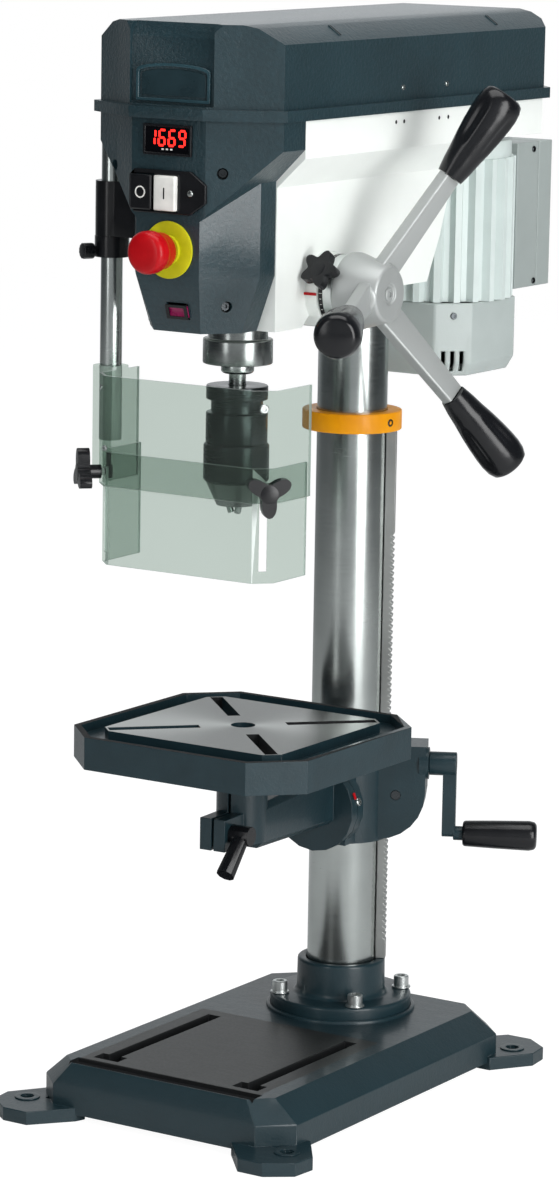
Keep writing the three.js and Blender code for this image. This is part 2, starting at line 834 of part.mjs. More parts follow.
function makeBracket() {
  const sleeve = solid(tube(columnBore, bracketRadius, [bracketBottom, bracketTop], wideSides));
  const cheek = solid(block([-cheekHalfWidth, cheekHalfWidth], [tiltFace, 0], [cheekBottom, cheekTop]));
  const disc = solid(alongY(rod(armFlangeRadius, [0, armFlangeThickness], roundSides),
    [0, tiltFace, tiltHeight]));
  const corner = housingRound;
  const arc = Array.from({ length: housingArcSteps + 1 }, (_, i) => {
    const angle = -Math.PI / 2 + (i / housingArcSteps) * (Math.PI / 2);
    return [housingReach - corner + corner * Math.cos(angle),
      housingBottom + corner + corner * Math.sin(angle)];
  });
  const housingOutline = [[columnRadius, housingBottom], ...arc, [housingReach, bracketTop],
    [columnRadius, bracketTop]];
  const housing = solid(frontPrism(housingOutline, [-housingSide, housingFarSide]).rotateZ(rackAngle));
  const wormBoss = solid(aim(rod(wormBossRadius, [0, housingReach + wormBossHeight - wormEnd], roundSides),
    outward, housingPoint(wormEnd, wheelCentre, wormHeight)));
  const clampBoss = solid(block([bracketRadius - columnWall, clampBossReach],
    [-clampBossHalfWidth, clampBossHalfWidth], [clampBossBottom, clampBossTop]).rotateZ(clampAngle));

  const bore = solid(rod(columnBore, [bracketBottom - overrun, bracketTop + overrun], wideSides));
  const rackSlot = solid(block([0, rackOuter + fit], [-rackWidth / 2 - fit, rackWidth / 2 + fit],
    [bracketBottom - overrun, bracketTop + overrun]).rotateZ(rackAngle));
  const cavity = (radius, side, half) => solid(aim(rod(radius, [-half, half], roundSides),
    sideways, housingPoint(pinionReach, side, pinionHeight)));
  const pinionRoom = cavity(bored(pinionRadius, roundSides), 0, pinionHalfWidth + fit);
  const wheelRoom = cavity(bored(wheelRadius, roundSides), wheelCentre, wheelHalfWidth + fit);
  const shaftRoom = solid(aim(rod(bored(pinionShaftRadius, smallSides),
    [-housingSide - overrun, housingFarSide - fit],
    smallSides), sideways, housingPoint(pinionReach, 0, pinionHeight)));
  const wormRoom = solid(aim(rod(bored(wormRadius, roundSides), [wormStart - overrun, wormEnd + fit],
    roundSides),
    outward, housingPoint(0, wheelCentre, wormHeight)));
  const journal = solid(aim(rod(bored(journalRadius, smallSides), [wormEnd - overrun, housingReach * 2],
    smallSides),
    outward, housingPoint(0, wheelCentre, wormHeight)));
  const tiltHole = solid(alongY(rod(bored(tiltStubRadius, smallSides),
    [-overrun, tiltStubLength + fit * 2], smallSides),
    [0, tiltFace, tiltHeight]));
  const slit = solid(block([columnRadius - overrun, clampBossReach + overrun],
    [-clampSlit / 2, clampSlit / 2],
    [bracketBottom - overrun, bracketTop + overrun]).rotateZ(clampAngle));
  const clampHole = solid(alongY(rod(bored(pinionShaftRadius, smallSides),
    [-clampBossHalfWidth - overrun, clampBossHalfWidth + overrun], smallSides),
    [clampBoltX, 0, clampBoltZ]).rotateZ(clampAngle));
  const body = join(sleeve, cheek, disc, housing, wormBoss, clampBoss);
  return carve(body, bore, rackSlot, pinionRoom, wheelRoom, shaftRoom, wormRoom, journal, tiltHole, slit,
    clampHole);
}

const clampBoltX = (bracketRadius + clampBossReach) / 2;
const clampBoltZ = (clampBossBottom + clampBossTop) / 2;
place('table_bracket', makeBracket(), paint, swingGroup);

// Pinion, worm wheel and their shaft in one piece
function makePinion() {
  const shaft = solid(rod(pinionShaftRadius, [-housingSide, housingFarSide - fit * 2], smallSides));
  const pinion = solid(prism(starOutline(rackPinionTeeth, pinionRadius - toothDepth, pinionRadius,
    toothSteps),
    [-pinionHalfWidth, pinionHalfWidth]));
  const wheel = solid(rod(wheelRadius, [wheelCentre - wheelHalfWidth, wheelCentre + wheelHalfWidth],
    roundSides));
  return solid(aim(geometryOf(join(shaft, pinion, wheel)), sideways,
    housingPoint(pinionReach, 0, pinionHeight)));
}

place('rack_pinion', makePinion(), machined, swingGroup);

// Crank: worm, journal and a bent arm with the stud that its grip turns on

function makeCrank() {
  const journalEnd = housingReach + wormBossHeight;
  const profile = [[0, wormStart], [wormRadius, wormStart], [wormRadius, wormEnd], [journalRadius, wormEnd],
    [journalRadius, journalEnd + fit], [crankShaftRadius, journalEnd + fit], [crankShaftRadius, crankHubEnd],
    [0, crankHubEnd]];
  const shaft = solid(turned(profile, smallSides));
  const half = crankArmWidth / 2;
  const arm = solid(block([-half, half], [-crankLength - half, half], [crankHubStart, crankHubEnd]));
  const stud = solid(rod(studRadius, [crankHubEnd - overrun, crankHubEnd + studNeck + studDepth],
    smallSides).translate(0, -crankLength, 0));
  const upright = geometryOf(join(shaft, arm, stud));
  return solid(crankPlace(upright));
}

// The crank is drawn with its arm along -y and its shaft along z, then laid along the rack's direction
function crankPlace(geometry) {
  const basis = new THREE.Matrix4().makeBasis(new THREE.Vector3(...sideways),
    new THREE.Vector3(0, 0, 1), new THREE.Vector3(...outward));
  return geometry.applyMatrix4(basis).translate(...housingPoint(0, wheelCentre, wormHeight));
}

function makeCrankGrip() {
  const start = crankHubEnd + studNeck;
  const end = start + gripLength;
  const bore = bored(studRadius, smallSides);
  const floor = start + studDepth + fit;
  const profile = [[bore, start], [gripSmallRadius, start], [gripLargeRadius, end - gripEndRound],
    [gripLargeRadius - gripEndRound / 2, end], [0, end], [0, floor], [bore, floor], [bore, start]];
  return solid(crankPlace(turned(profile, smallSides).translate(0, -crankLength, 0)));
}
place('crank_arm', makeCrank(), paint, swingGroup);
place('crank_grip', makeCrankGrip(), black, swingGroup);

// Lever that closes the bracket on the column
function makeColumnLever() {
  const reach = clampBossHalfWidth + fit;
  const stem = rod(pinionShaftRadius, [-reach - knobStemRadius, reach + knobStemRadius], smallSides);
  const head = rod(clampHubRadius, [reach, reach + clampHubLength], smallSides);
  const handle = aim(rod(clampHandleRoot, [0, clampHandleLength], smallSides, clampHandleTip),
    clampHandleShares, [0, 0, reach + clampHandleHeight]);
  const lever = geometryOf(join(solid(stem), solid(head), solid(handle)));
  return solid(alongY(lever, [clampBoltX, 0, clampBoltZ]).rotateZ(clampAngle));
}
place('column_clamp_lever', makeColumnLever(), black, swingGroup);

// Arm that tilts on the bracket's face and holds the table's stem in a split socket
const armFace = tiltFace - fit;
const tableY = -tableReach;
const earBoltZ = earTop - earBoltDrop;
const earBoltY = tableY - socketOuterRadius - earBoltGap;

function makeArm() {
  const flange = solid(alongY(rod(armFlangeRadius, [-armFlangeThickness, 0], roundSides),
    [0, armFace, tiltHeight]));
  const stub = solid(alongY(rod(tiltStubRadius, [-armFlangeThickness, tiltStubLength], smallSides),
    [0, armFace, tiltHeight]));
  const inset = armHalfWidth / 4;
  const section = (y, bottom, top) => cutRectangle([-armHalfWidth, armHalfWidth], [bottom, top], inset);
  const beam = loft([
    { z: -(armFace - armFlangeThickness + fit), outline: section(0, armRootBottom, armRootTop) },
    { z: -tableY, outline: section(0, armTipBottom, armTipTop) }]).applyMatrix4(xzY);
  const socket = solid(rod(socketOuterRadius, [socketBottom, socketTop], roundSides).translate(0, tableY, 0));
  const ears = solid(block([-earHalfWidth, earHalfWidth], [tableY - earReach, tableY],
    [socketBottom, earTop]));
  const bore = solid(rod(bored(stemRadius, roundSides), [socketBottom - overrun, socketTop + overrun],
    roundSides)
    .translate(0, tableY, 0));
  const slit = solid(block([-earSlit / 2, earSlit / 2], [tableY - earReach - overrun, tableY],
    [socketBottom - overrun, socketTop + overrun]));
  const hole = solid(alongX(rod(bored(pinionShaftRadius, smallSides),
    [-earHalfWidth - overrun, earHalfWidth + overrun], smallSides), [0, earBoltY, earBoltZ]));
  return carve(join(flange, stub, solid(beam), socket, ears), bore, slit, hole);
}

const xzY = new THREE.Matrix4().makeBasis(
  new THREE.Vector3(1, 0, 0), new THREE.Vector3(0, 0, 1), new THREE.Vector3(0, -1, 0));
place('table_arm', makeArm(), paint, swingGroup);

function makeTableLever() {
  const reach = earHalfWidth + fit;
  const stem = solid(rod(pinionShaftRadius, [-reach - knobStemRadius, reach + knobStemRadius], smallSides));
  const head = solid(rod(leverHubRadius, [reach, reach + leverHead], smallSides));
  const handle = solid(aim(rod(leverHandleRoot, [0, leverHandleLength], smallSides, leverHandleTip),
    leverHandleShares, [0, 0, reach + leverHandleHeight]));
  return solid(alongX(geometryOf(join(stem, head, handle)), [0, earBoltY, earBoltZ]));
}
place('table_clamp_lever', makeTableLever(), black, swingGroup);

// Table: a rimmed plate with a raised machined square, four slots, a centre hole and a stem
function makeTable() {
  const rim = cutRectangle([-tableWidth / 2, tableWidth / 2], [-tableLength / 2, tableLength / 2],
    tableCorner);
  const innerHalf = [tableWidth / 2 - rimWall, tableLength / 2 - rimWall];
  const trough = cutRectangle([-innerHalf[0], innerHalf[0]], [-innerHalf[1], innerHalf[1]],
    tableCorner - rimWall * (2 - Math.SQRT2));
  const troughFloor = tableRim - troughDepth;
  const half = faceSize / 2;
  const face = cutRectangle([-half, half], [-half, half], faceCorner);
  const plate = solid(prism(rim, [tableBottom, tableRim]));
  const hollow = solid(prism(trough, [troughFloor, tableRim + overrun]));
  const raised = solid(prism(face, [troughFloor - overrun, tableFace]));
  const stem = solid(rod(stemRadius, [tableStemBottom, troughFloor], roundSides));
  const hub = solid(rod(socketOuterRadius, [tableBottom, troughFloor], roundSides));
  const pocketOutline = solid(prism(cutRectangle([-innerHalf[0], innerHalf[0]], [-innerHalf[1], innerHalf[1]],
    tablePocketCorner), [tableBottom - overrun * 2, troughFloor - tableFloor]));
  const pockets = join(...ribPockets([-innerHalf[0], innerHalf[0]], [-innerHalf[1], innerHalf[1]],
    [tableBottom - overrun, troughFloor - tableFloor], tableRibCount, tableRibCount, tableRib))
    .intersect(pocketOutline);
  const slots = [1, 3, 5, 7].map((eighth) => solid(block([tableSlotStart, tableSlotEnd],
    [-tableSlotWidth / 2, tableSlotWidth / 2], [tableBottom - overrun, tableFace + overrun])
    .rotateZ(eighth * Math.PI / 4)));
  const hole = solid(rod(tableHoleRadius, [tableStemBottom - overrun, tableFace + overrun], roundSides));
  const cast = join(carve(plate, hollow, pockets), raised, stem, hub);
  return carve(cast, ...slots, hole);
}

// The table keeps the machine's own directions although its bracket is swung
const tableSpot = new THREE.Group();
tableSpot.position.set(0, tableY, 0);
tableSpot.rotation.z = -tableSwing;
swingGroup.add(tableSpot);
place('table_top', makeTable(), paint, tableSpot);

// Head casting: tray above, narrower body below, bores for the column, the quill and the feed shaft
const trayInside = trayBottom + trayFloor;
const lidTop = trayTop + lidHeight;
const hingeZ = trayTop - hingeDrop;
const bodyTop = trayBottom - bodyFlare;
const feedBossEnd = bodyHalfWidth + feedBossHeight;

function makeHead() {
  const side = [[headFront, headBottom], [spindleY, headBottom], [headArchY, headArchZ],
    [headBackY, headArchZ],
    [headHaunchY, headHaunchZ], [headRoofY, trayBottom], [headRear, trayBottom], [headRear, trayTop],
    [headFront, trayTop]];
  const front = [[-bodyHalfWidth, headBottom - overrun], [bodyHalfWidth, headBottom - overrun],
    [bodyHalfWidth, bodyTop], [headHalfWidth, trayBottom], [headHalfWidth, trayTop + overrun],
    [-headHalfWidth, trayTop + overrun], [-headHalfWidth, trayBottom], [-bodyHalfWidth, bodyTop]];
  const plan = [[-headHalfWidth, headFront - overrun], [headHalfWidth, headFront - overrun],
    [headHalfWidth, headRear - trayCorner], [headHalfWidth - trayCorner, headRear],
    [-headHalfWidth + trayCorner, headRear], [-headHalfWidth, headRear - trayCorner]];
  const body = solid(sidePrism(side, [-headHalfWidth - overrun, headHalfWidth + overrun]))
    .intersect(solid(frontPrism(front, [headFront - overrun, headRear + overrun])))
    .intersect(solid(prism(plan, [headBottom - overrun, trayTop + overrun])));
  const boss = solid(alongX(rod(feedBossRadius, [-bodyHalfWidth - feedBossHeight / 2, feedBossEnd],
    roundSides),
    [0, feedY, feedZ]));
  const motorPad = solid(rod(motorPadRadius, [motorTop + fit, trayBottom + overrun], roundSides)
    .translate(0, motorY, 0));
  const guardPad = solid(block([-bodyHalfWidth - fit, 0], [headFront, spindleY],
    [guardBlockBottom, guardBlockTop]));
  const lugs = hingeStations.map((y) => {
    const lug = solid(block([hingeX, -headHalfWidth + trayWall], [y, y + hingeLength],
      [hingeZ - hingeKnuckleRadius, hingeZ + hingeKnuckleRadius - fit]));
    const round = solid(alongY(rod(hingeKnuckleRadius - fit, [0, hingeLength], boltSides),
      [hingeX, y, hingeZ]));
    const pin = solid(alongY(rod(hingePinRadius, [0, hingeLength * 2], boltSides), [hingeX, y, hingeZ]));
    return join(lug, round, pin);
  });

  const tray = cutRectangle([-headHalfWidth + trayWall, headHalfWidth - trayWall],
    [headFront + trayWall, headRear - trayWall], trayCorner);
  const trayRoom = solid(prism(tray, [trayInside, trayTop + overrun]));
  const pulleyRoom = makePulleyRoom();
  const core = solid(block([-coreHalfWidth, coreHalfWidth], [coreFront, coreRear], [coreBottom, trayTop]));
  const columnRoom = solid(rod(columnBore, [headBottom - overrun, columnTop + fit], wideSides));
  const quillRoom = solid(rod(bored(quillRadius, wideSides), [headBottom - overrun, quillBoreTop], wideSides)
    .translate(0, spindleY, 0));
  const sleeveRoom = solid(rod(bored(driveSleeveRadius, roundSides), [quillBoreTop - overrun, trayTop],
    roundSides)
    .translate(0, spindleY, 0));
  const feedRoom = solid(alongX(rod(feedBoreRadius, [-headHalfWidth, headHalfWidth], roundSides),
    [0, feedY, feedZ]));
  const shaftRoom = solid(rod(motorShaftRoom, [motorTop, trayTop], roundSides).translate(0, motorY, 0));
  const pivot = solid(rod(bored(idlerPostRadius / 2, boltSides), [trayBottom - overrun, trayTop], boltSides)
    .translate(idlerPivotX, idlerPivotY, 0));
  const cast = carve(join(body, boss, motorPad, guardPad), trayRoom, core, columnRoom, quillRoom, sleeveRoom,
    feedRoom, shaftRoom, pivot, pulleyRoom);
  return join(cast, ...lugs);
}

// Room for the front pulley, which stands partly in the front cover
function makePulleyRoom() {
  const radius = spindleSteps[0] + pulleyClearance;
  return solid(rod(radius, [pulleyBottom - pulleyClearance, trayTop + overrun], wideSides)
    .translate(0, spindleY, 0));
}
place('head_casting', makeHead(), whitePaint);

// Front cover: wide above, narrow below, hollow and open to the rear
const coverBack = headFront - fit;

function coverBody(inset) {
  const back = coverBack + (inset > 0 ? overrun : 0);
  const front = coverFront + inset;
  const top = trayTop - inset;
  const wide = headHalfWidth - inset;
  const bow = [[-coverCentreHalf, front], [coverCentreHalf, front],
    [coverBowHalf - inset / 2, coverBowY + inset],
    [wide, coverCornerY + inset / 2], [wide, back], [-wide, back], [-wide, coverCornerY + inset / 2],
    [-coverBowHalf + inset / 2, coverBowY + inset]];
  const upper = [[-wide, top], [-wide, coverWideShoulder + inset],
    [-coverThroatHalf, coverWideBottom + inset],
    [coverThroatHalf, coverWideBottom + inset], [wide, coverWideShoulder + inset], [wide, top]];
  const low = headBottom + inset;
  const side = coverThroatSide - inset;
  const toe = coverToeHalf - inset;
  const mirrored = (half) => [...half, ...half.map(([x, y]) => [-x, y]).reverse()];
  const throat = mirrored([[coverThroatHalf - inset / 2, front], [side, coverThroatY + inset / 2],
    [side, back]]);
  const toeFront = front + coverToeSetback;
  const toePlan = mirrored([[coverToeFrontHalf - inset / 2, toeFront], [toe, coverThroatY + inset / 2],
    [toe, back]]);
  const depth = [coverFront - overrun, coverBack + overrun * 2];
  const head = solid(prism(bow, [headBottom - overrun, top])).intersect(solid(frontPrism(upper, depth)));
  const neck = solid(loft([{ z: low, outline: toePlan }, { z: coverThroatBend, outline: throat },
    { z: coverThroatTop, outline: throat }]));
  return join(head, neck);
}

// The toe's front face leans back below the bend; what sits on it leans with it
const toeLean = Math.atan2(coverToeSetback, coverThroatBend - headBottom);
const leanBack = (geometry) => geometry.translate(0, -coverFront, -coverThroatBend).rotateX(toeLean)
  .translate(0, coverFront, coverThroatBend);

// Wells for the screws that hold the cover, each square to the facet that it starts on
const bowFacet = [[coverCentreHalf, coverFront], [coverBowHalf, coverBowY]];
const cornerFacet = [[coverBowHalf, coverBowY], [headHalfWidth, coverCornerY]];
const toeShare = (coverThroatBend - wellLow) / (coverThroatBend - headBottom);
const toeFacet = [[coverThroatHalf - (coverThroatHalf - coverToeFrontHalf) * toeShare,
  coverFront + coverToeSetback * toeShare],
  [coverThroatSide - (coverThroatSide - coverToeHalf) * toeShare, coverThroatY]];

function screwWell(x, z, [[x0, y0], [x1, y1]], side, radius, depth) {
  const y = y0 + (y1 - y0) * (x - x0) / (x1 - x0);
  const inwards = [-side * (y1 - y0), x1 - x0, 0];
  const length = Math.hypot(...inwards);
  return solid(aim(rod(radius, [-wellDepth, depth], smallSides), inwards.map((v) => v / length),
    [side * x, y, z]));
}

function coverWells(radius, depth) {
  return join(screwWell(wellLeftX, wellHigh, cornerFacet, -1, radius, depth),
    screwWell(wellRightX, wellHigh, bowFacet, 1, radius, depth),
    screwWell(wellToeX, wellLow, toeFacet, 1, radius, depth));
}

function makeFrontCover() {
  const through = [coverFront - overrun, coverFront + coverWall + overrun];
  const estopHole = solid(alongY(rod(bored(estopStemRadius, smallSides), [0, coverWall + overrun * 2],
    smallSides),
    [estopX, coverFront - overrun, estopZ]));
  const lampHole = solid(leanBack(block([lampX - lampHalfWidth - fit, lampX + lampHalfWidth + fit], through,
    [lampZ - lampHalfHeight - lampClearance, lampZ + lampHalfHeight + lampClearance])));
  const bosses = coverWells(wellRadius + wellWall, wellLength).intersect(coverBody(0));
  const shell = join(carve(coverBody(0), coverBody(coverWall)), bosses);
  return carve(shell, coverWells(wellRadius, wellDepth), makePulleyRoom(), estopHole, lampHole);
}
place('front_cover', makeFrontCover(), paint);

// Belt cover: a lid with a rim, a crowned top and two hinge knuckles on its left side
const lidBottom = trayTop + fit;
const lidShoulder = lidTop - lidShoulderDrop;
const lidEdgeHeight = lidTop - lidEdgeDrop;

function lidBody(inset) {
  const front = coverFront + inset;
  const rear = headRear - inset;
  const wide = headHalfWidth - inset;
  const low = inset > 0 ? lidBottom - overrun : lidBottom;
  const plan = [[-coverCentreHalf, front], [coverCentreHalf, front],
    [coverBowHalf - inset / 2, coverBowY + inset],
    [wide, coverCornerY + inset / 2], [wide, rear - lidRearCorner], [wide - lidRearCorner, rear],
    [-wide + lidRearCorner, rear], [-wide, rear - lidRearCorner], [-wide, coverCornerY + inset / 2],
    [-coverBowHalf + inset / 2, coverBowY + inset]];
  const face = [[-wide, low], [wide, low], [wide, lidShoulder - inset / 2],
    [lidEdgeHalf - inset / 2, lidEdgeHeight - inset], [lidCrownHalf, lidTop - inset],
    [-lidCrownHalf, lidTop - inset], [-lidEdgeHalf + inset / 2, lidEdgeHeight - inset],
    [-wide, lidShoulder - inset / 2]];
  const top = lidTop - inset;
  const side = [[front, low], [rear, low], [rear, lidEdgeHeight - inset - lidRearEase],
    [rear - lidRearEase, top + overrun], [front + lidFrontEase, top + overrun], [front, top - lidFrontDrop]];
  return solid(prism(plan, [low, top])).intersect(solid(frontPrism(face, [front - overrun, rear + overrun])))
    .intersect(solid(sidePrism(side, [-headHalfWidth * 2, headHalfWidth * 2])));
}

// The recess between the two rounded columns at the front, or the same shape a wall larger
function lidRecess(low, wall) {
  const floor = coverFront + lidRecessDepth + wall;
  const half = lidRecessHalf + wall;
  const side = [[coverFront - overrun, low], [floor, low], [floor, lidTop - lidFrontDrop],
    [floor + lidFrontEase, lidTop + overrun], [coverFront - overrun, lidTop + overrun]];
  return solid(sidePrism(side, [-half, half]));
}

function makeLid() {
  const rim = [[-coverCentreHalf, coverFront - lidRimOut], [coverCentreHalf, coverFront - lidRimOut],
    [coverBowHalf + lidRimOut / 2, coverBowY - lidRimOut],
    [headHalfWidth + lidRimOut, coverCornerY - lidRimOut / 2],
    [headHalfWidth + lidRimOut, headRear - lidRearCorner + lidRimOut / 2],
    [headHalfWidth - lidRearCorner + lidRimOut / 2, headRear + lidRimOut],
    [-headHalfWidth + lidRearCorner - lidRimOut / 2, headRear + lidRimOut],
    [-headHalfWidth - lidRimOut, headRear - lidRearCorner + lidRimOut / 2],
    [-headHalfWidth - lidRimOut, coverCornerY - lidRimOut / 2],
    [-coverBowHalf - lidRimOut / 2, coverBowY - lidRimOut]];
  const band = solid(prism(rim, [lidBottom, lidBottom + lidRimHeight]));
  const knuckles = hingeStations.map((y) => {
    const start = y + hingeLength + fit;
    const end = start + hingeLength - fit;
    const round = solid(alongY(rod(hingeKnuckleRadius - fit, [0, end - start], boltSides),
      [hingeX, start, hingeZ]));
    const web = solid(block([hingeX - hingeKnuckleRadius + fit, -headHalfWidth - lidRimOut / 2], [start, end],
      [lidBottom, lidBottom + lidRimHeight / 2]));
    const link = solid(block([hingeX - hingeKnuckleRadius + fit, hingeX + hingePinRadius], [start, end],
      [hingeZ, lidBottom + overrun]));
    const pinHole = solid(alongY(rod(bored(hingePinRadius, boltSides), [-overrun, end - start + overrun],
      boltSides),
      [hingeX, start, hingeZ]));
    return carve(join(round, web, link), pinHole);
  });
  const shell = carve(join(lidBody(0), band), lidBody(coverWall));
  const backing = lidRecess(lidBottom, coverWall).intersect(lidBody(0));
  const recess = lidRecess(lidBottom + lidRimHeight + lidRecessLift, 0);
  return join(carve(join(shell, backing), recess), ...knuckles);
}
place('belt_cover', makeLid(), paint);

// Quill with its collar, the notches that the feed pinion works in, and the bearing below
const bearingBottom = quillCollarBottom + bearingSeat;
const bearingTop = bearingBottom + bearingHeight;

function makeQuill() {
  const bore = bored(spindleRadius, wideSides);
  const seat = bored(bearingOuter, wideSides);
  const profile = [[seat, quillCollarBottom], [quillCollarRadius - quillChamfer, quillCollarBottom],
    [quillCollarRadius, quillCollarBottom + quillChamfer], [quillCollarRadius, quillCollarTop],
    [quillRadius, quillCollarTop], [quillRadius, quillTop], [bore, quillTop], [bore, bearingTop + fit],
    [seat, bearingTop + fit], [seat, quillCollarBottom]];
  const notches = Array.from({ length: quillNotches }, (_, i) => {
    const z = quillNotchStart + i * toothPitch;
    return solid(block([-feedPinionHalfWidth, feedPinionHalfWidth],
      [quillRadius - quillNotchDepth, quillRadius + overrun], [z, z + toothPitch / 2]));
  });
  return carve(solid(turned(profile, wideSides)), ...notches).translate([0, spindleY, 0]);
}
place('quill_sleeve', makeQuill(), steel);
place('spindle_bearing', solid(tube(bored(spindleRadius, roundSides), bearingOuter,
  [bearingBottom, bearingTop])
  .translate(0, spindleY, 0)), darkSteel);

function makeSpindle() {
  const noseTop = quillCollarBottom - fit;
  const profile = [[0, noseBottom - arborLength], [arborRadius, noseBottom - arborLength],
    [arborRadius, noseBottom], [noseRadius - quillChamfer, noseBottom],
    [noseRadius, noseBottom + quillChamfer],
    [noseRadius, noseTop], [spindleRadius, noseTop], [spindleRadius, quillTop + fit],
    [splineRadius, quillTop + fit], [splineRadius, spindleTop], [0, spindleTop]];
  return solid(turned(profile).translate(0, spindleY, 0));
}
place('spindle', makeSpindle(), steel);

// Keyless chuck: body, gripping sleeve and three jaws in sloping bores
const jawWays = Array.from({ length: jawCount }, (_, i) => {
  const angle = Math.PI / 2 + i * full / jawCount;
  return { angle, way: [Math.sin(jawTilt) * Math.cos(angle), Math.sin(jawTilt) * Math.sin(angle),
    Math.cos(jawTilt)] };
});

function jawRod({ angle, way }, radius, before, length) {
  const start = [jawTipRadius * Math.cos(angle), spindleY + jawTipRadius * Math.sin(angle), jawTip];
  return solid(aim(rod(radius, [-before, length], boltSides), way, start));
}

function makeChuckBody() {
  const flangeLow = chuckTop - chuckFlangeHeight;
  const neckLow = flangeLow - chuckNeckHeight;
  const arborFit = bored(arborRadius, roundSides);
  const arborFloor = noseBottom - arborLength - fit;
  const profile = [[0, chuckNoseBottom], [chuckNoseRadius, chuckNoseBottom],
    [chuckNoseShoulder, sleeveBottom - fit], [chuckCoreRadius, sleeveBottom - fit],
    [chuckCoreRadius, sleeveTop + fit], [chuckFlangeRadius, sleeveTop + fit], [chuckFlangeRadius, neckLow],
    [chuckNeckRadius, neckLow], [chuckNeckRadius, flangeLow], [chuckFlangeRadius, flangeLow],
    [chuckFlangeRadius, chuckTop], [arborFit, chuckTop], [arborFit, arborFloor], [0, arborFloor]];
  const drillHole = solid(rod(drillHoleRadius, [chuckNoseBottom - overrun, chuckNoseBottom + drillHoleDepth],
    smallSides).translate(0, spindleY, 0));
  const bores = jawWays.map((jaw) => jawRod(jaw, bored(jawRadius, boltSides), overrun * 2,
    jawLength + jawTravel + fit));
  return carve(solid(turned(profile).translate(0, spindleY, 0)), drillHole, ...bores);
}
place('chuck_body', makeChuckBody(), darkSteel);

function makeChuckSleeve() {
  const bore = bored(chuckCoreRadius, roundSides);
  const ease = sleeveOuter - quillChamfer;
  const profile = [[bore, sleeveBottom], [ease, sleeveBottom], [sleeveOuter, sleeveBottom + quillChamfer],
    [sleeveOuter, sleeveTop - quillChamfer], [ease, sleeveTop], [bore, sleeveTop], [bore, sleeveBottom]];
  return solid(turned(profile).translate(0, spindleY, 0));
}
place('chuck_sleeve', makeChuckSleeve(), darkSteel);
jawWays.forEach((jaw, i) => place(`chuck_jaw_${i + 1}`, jawRod(jaw, jawRadius, 0, jawLength), steel));

// Feed hub: pinion shaft through the head, a hub on the right side and three levers
const depthRingStart = feedBossEnd + fit;
const hubStart = depthRingStart + ringGap + fit;

function leverWay(i) {
  const angle = leverPhase + i * full / leverCount;
  return [Math.sin(leverCone), Math.cos(leverCone) * Math.cos(angle), Math.cos(leverCone) * Math.sin(angle)];
}

function makeFeedHub() {
  const neck = solid(rod(feedShaftRadius, [-bodyHalfWidth - springCupLength + springCupWall * 2,
    hubFace - overrun],
    smallSides));
  const pinion = solid(prism(starOutline(feedTeeth, feedPinionRadius - quillNotchDepth, feedPinionRadius,
    toothSteps),
    [-feedPinionHalfWidth, feedPinionHalfWidth]));
  const collar = solid(rod(hubNeckRadius, [depthRingStart, hubStart + overrun], roundSides));
  const middle = (hubStart + hubFace) / 2 - hubNeckRadius;
  const hub = solid(turned([[0, hubStart], [hubRearRadius - quillChamfer, hubStart],
    [hubRearRadius, hubStart + quillChamfer], [hubRearRadius, middle],
    [hubFrontRadius, hubFace - quillChamfer],
    [hubFrontRadius - quillChamfer, hubFace], [0, hubFace]]));
  const shaft = solid(alongX(geometryOf(join(neck, pinion, collar, hub)), [0, feedY, feedZ]));
  const root = [leverRootX, feedY, feedZ];
  const levers = Array.from({ length: leverCount }, (_, i) => {
    const way = leverWay(i);
    const roll = leverRoll(way);
    const socket = solid(aim(rod(leverSocketRadius, [0, leverSocketEnd], smallSides, leverWidth / 2), way,
      root));
    const section = (width) => cutRectangle([-leverThickness / 2, leverThickness / 2],
      [-width / 2, width / 2], leverEdge);
    const bar = solid(aim(loft([{ z: 0, outline: section(leverWidth) },
      { z: leverEnd, outline: section(leverEndWidth) }]), way, root, roll));
    const tip = solid(aim(rod(leverTipRadius, [leverEnd - overrun, leverEnd + leverTipLength], boltSides),
      way, root));
    return join(socket, bar, tip);
  });
  return join(shaft, ...levers);
}

// The roll that turns a lever's flat side to face outwards
function leverRoll(way) {
  const turn = new THREE.Quaternion().setFromUnitVectors(new THREE.Vector3(0, 0, 1),
    new THREE.Vector3(...way));
  const local = new THREE.Vector3(1, 0, 0).applyQuaternion(turn.invert());
  return Math.atan2(local.y, local.x);
}

function makeFeedGrip(i) {
  const bore = bored(leverTipRadius, smallSides);
  const start = leverEnd + fit;
  const end = leverEnd + feedGripLength;
  const depth = start + leverTipLength + fit;
  const swell = feedGripShares.map(([width, length]) => [feedGripLarge * width,
    start + feedGripLength * length]);
  const profile = [[bore, start], [feedGripSmall, start], ...swell, [feedGripLarge - feedGripRound, end],
    [0, end], [0, depth], [bore, depth], [bore, start]];
  return solid(aim(turned(profile, smallSides), leverWay(i), [leverRootX, feedY, feedZ]));
}
place('feed_hub', makeFeedHub(), aluminium);
for (let i = 0; i < leverCount; i += 1) place(`feed_grip_${i + 1}`, makeFeedGrip(i), black);

// Depth stop: a ring round the hub's neck and the star knob that locks it
const knobWay = [0, Math.cos(depthKnobAngle), Math.sin(depthKnobAngle)];
const knobRoot = [depthRingStart + ringGap / 2, feedY, feedZ];

function makeDepthRing() {
  const ring = solid(alongX(tube(bored(hubNeckRadius, roundSides), depthRingRadius,
    [depthRingStart, depthRingStart + ringGap - fit]), [0, feedY, feedZ]));
  const hole = solid(aim(rod(bored(knobStemRadius, boltSides),
    [depthRingRadius - knobStemRadius * 3, depthRingRadius + overrun],
    boltSides), knobWay, knobRoot));
  return carve(ring, hole);
}

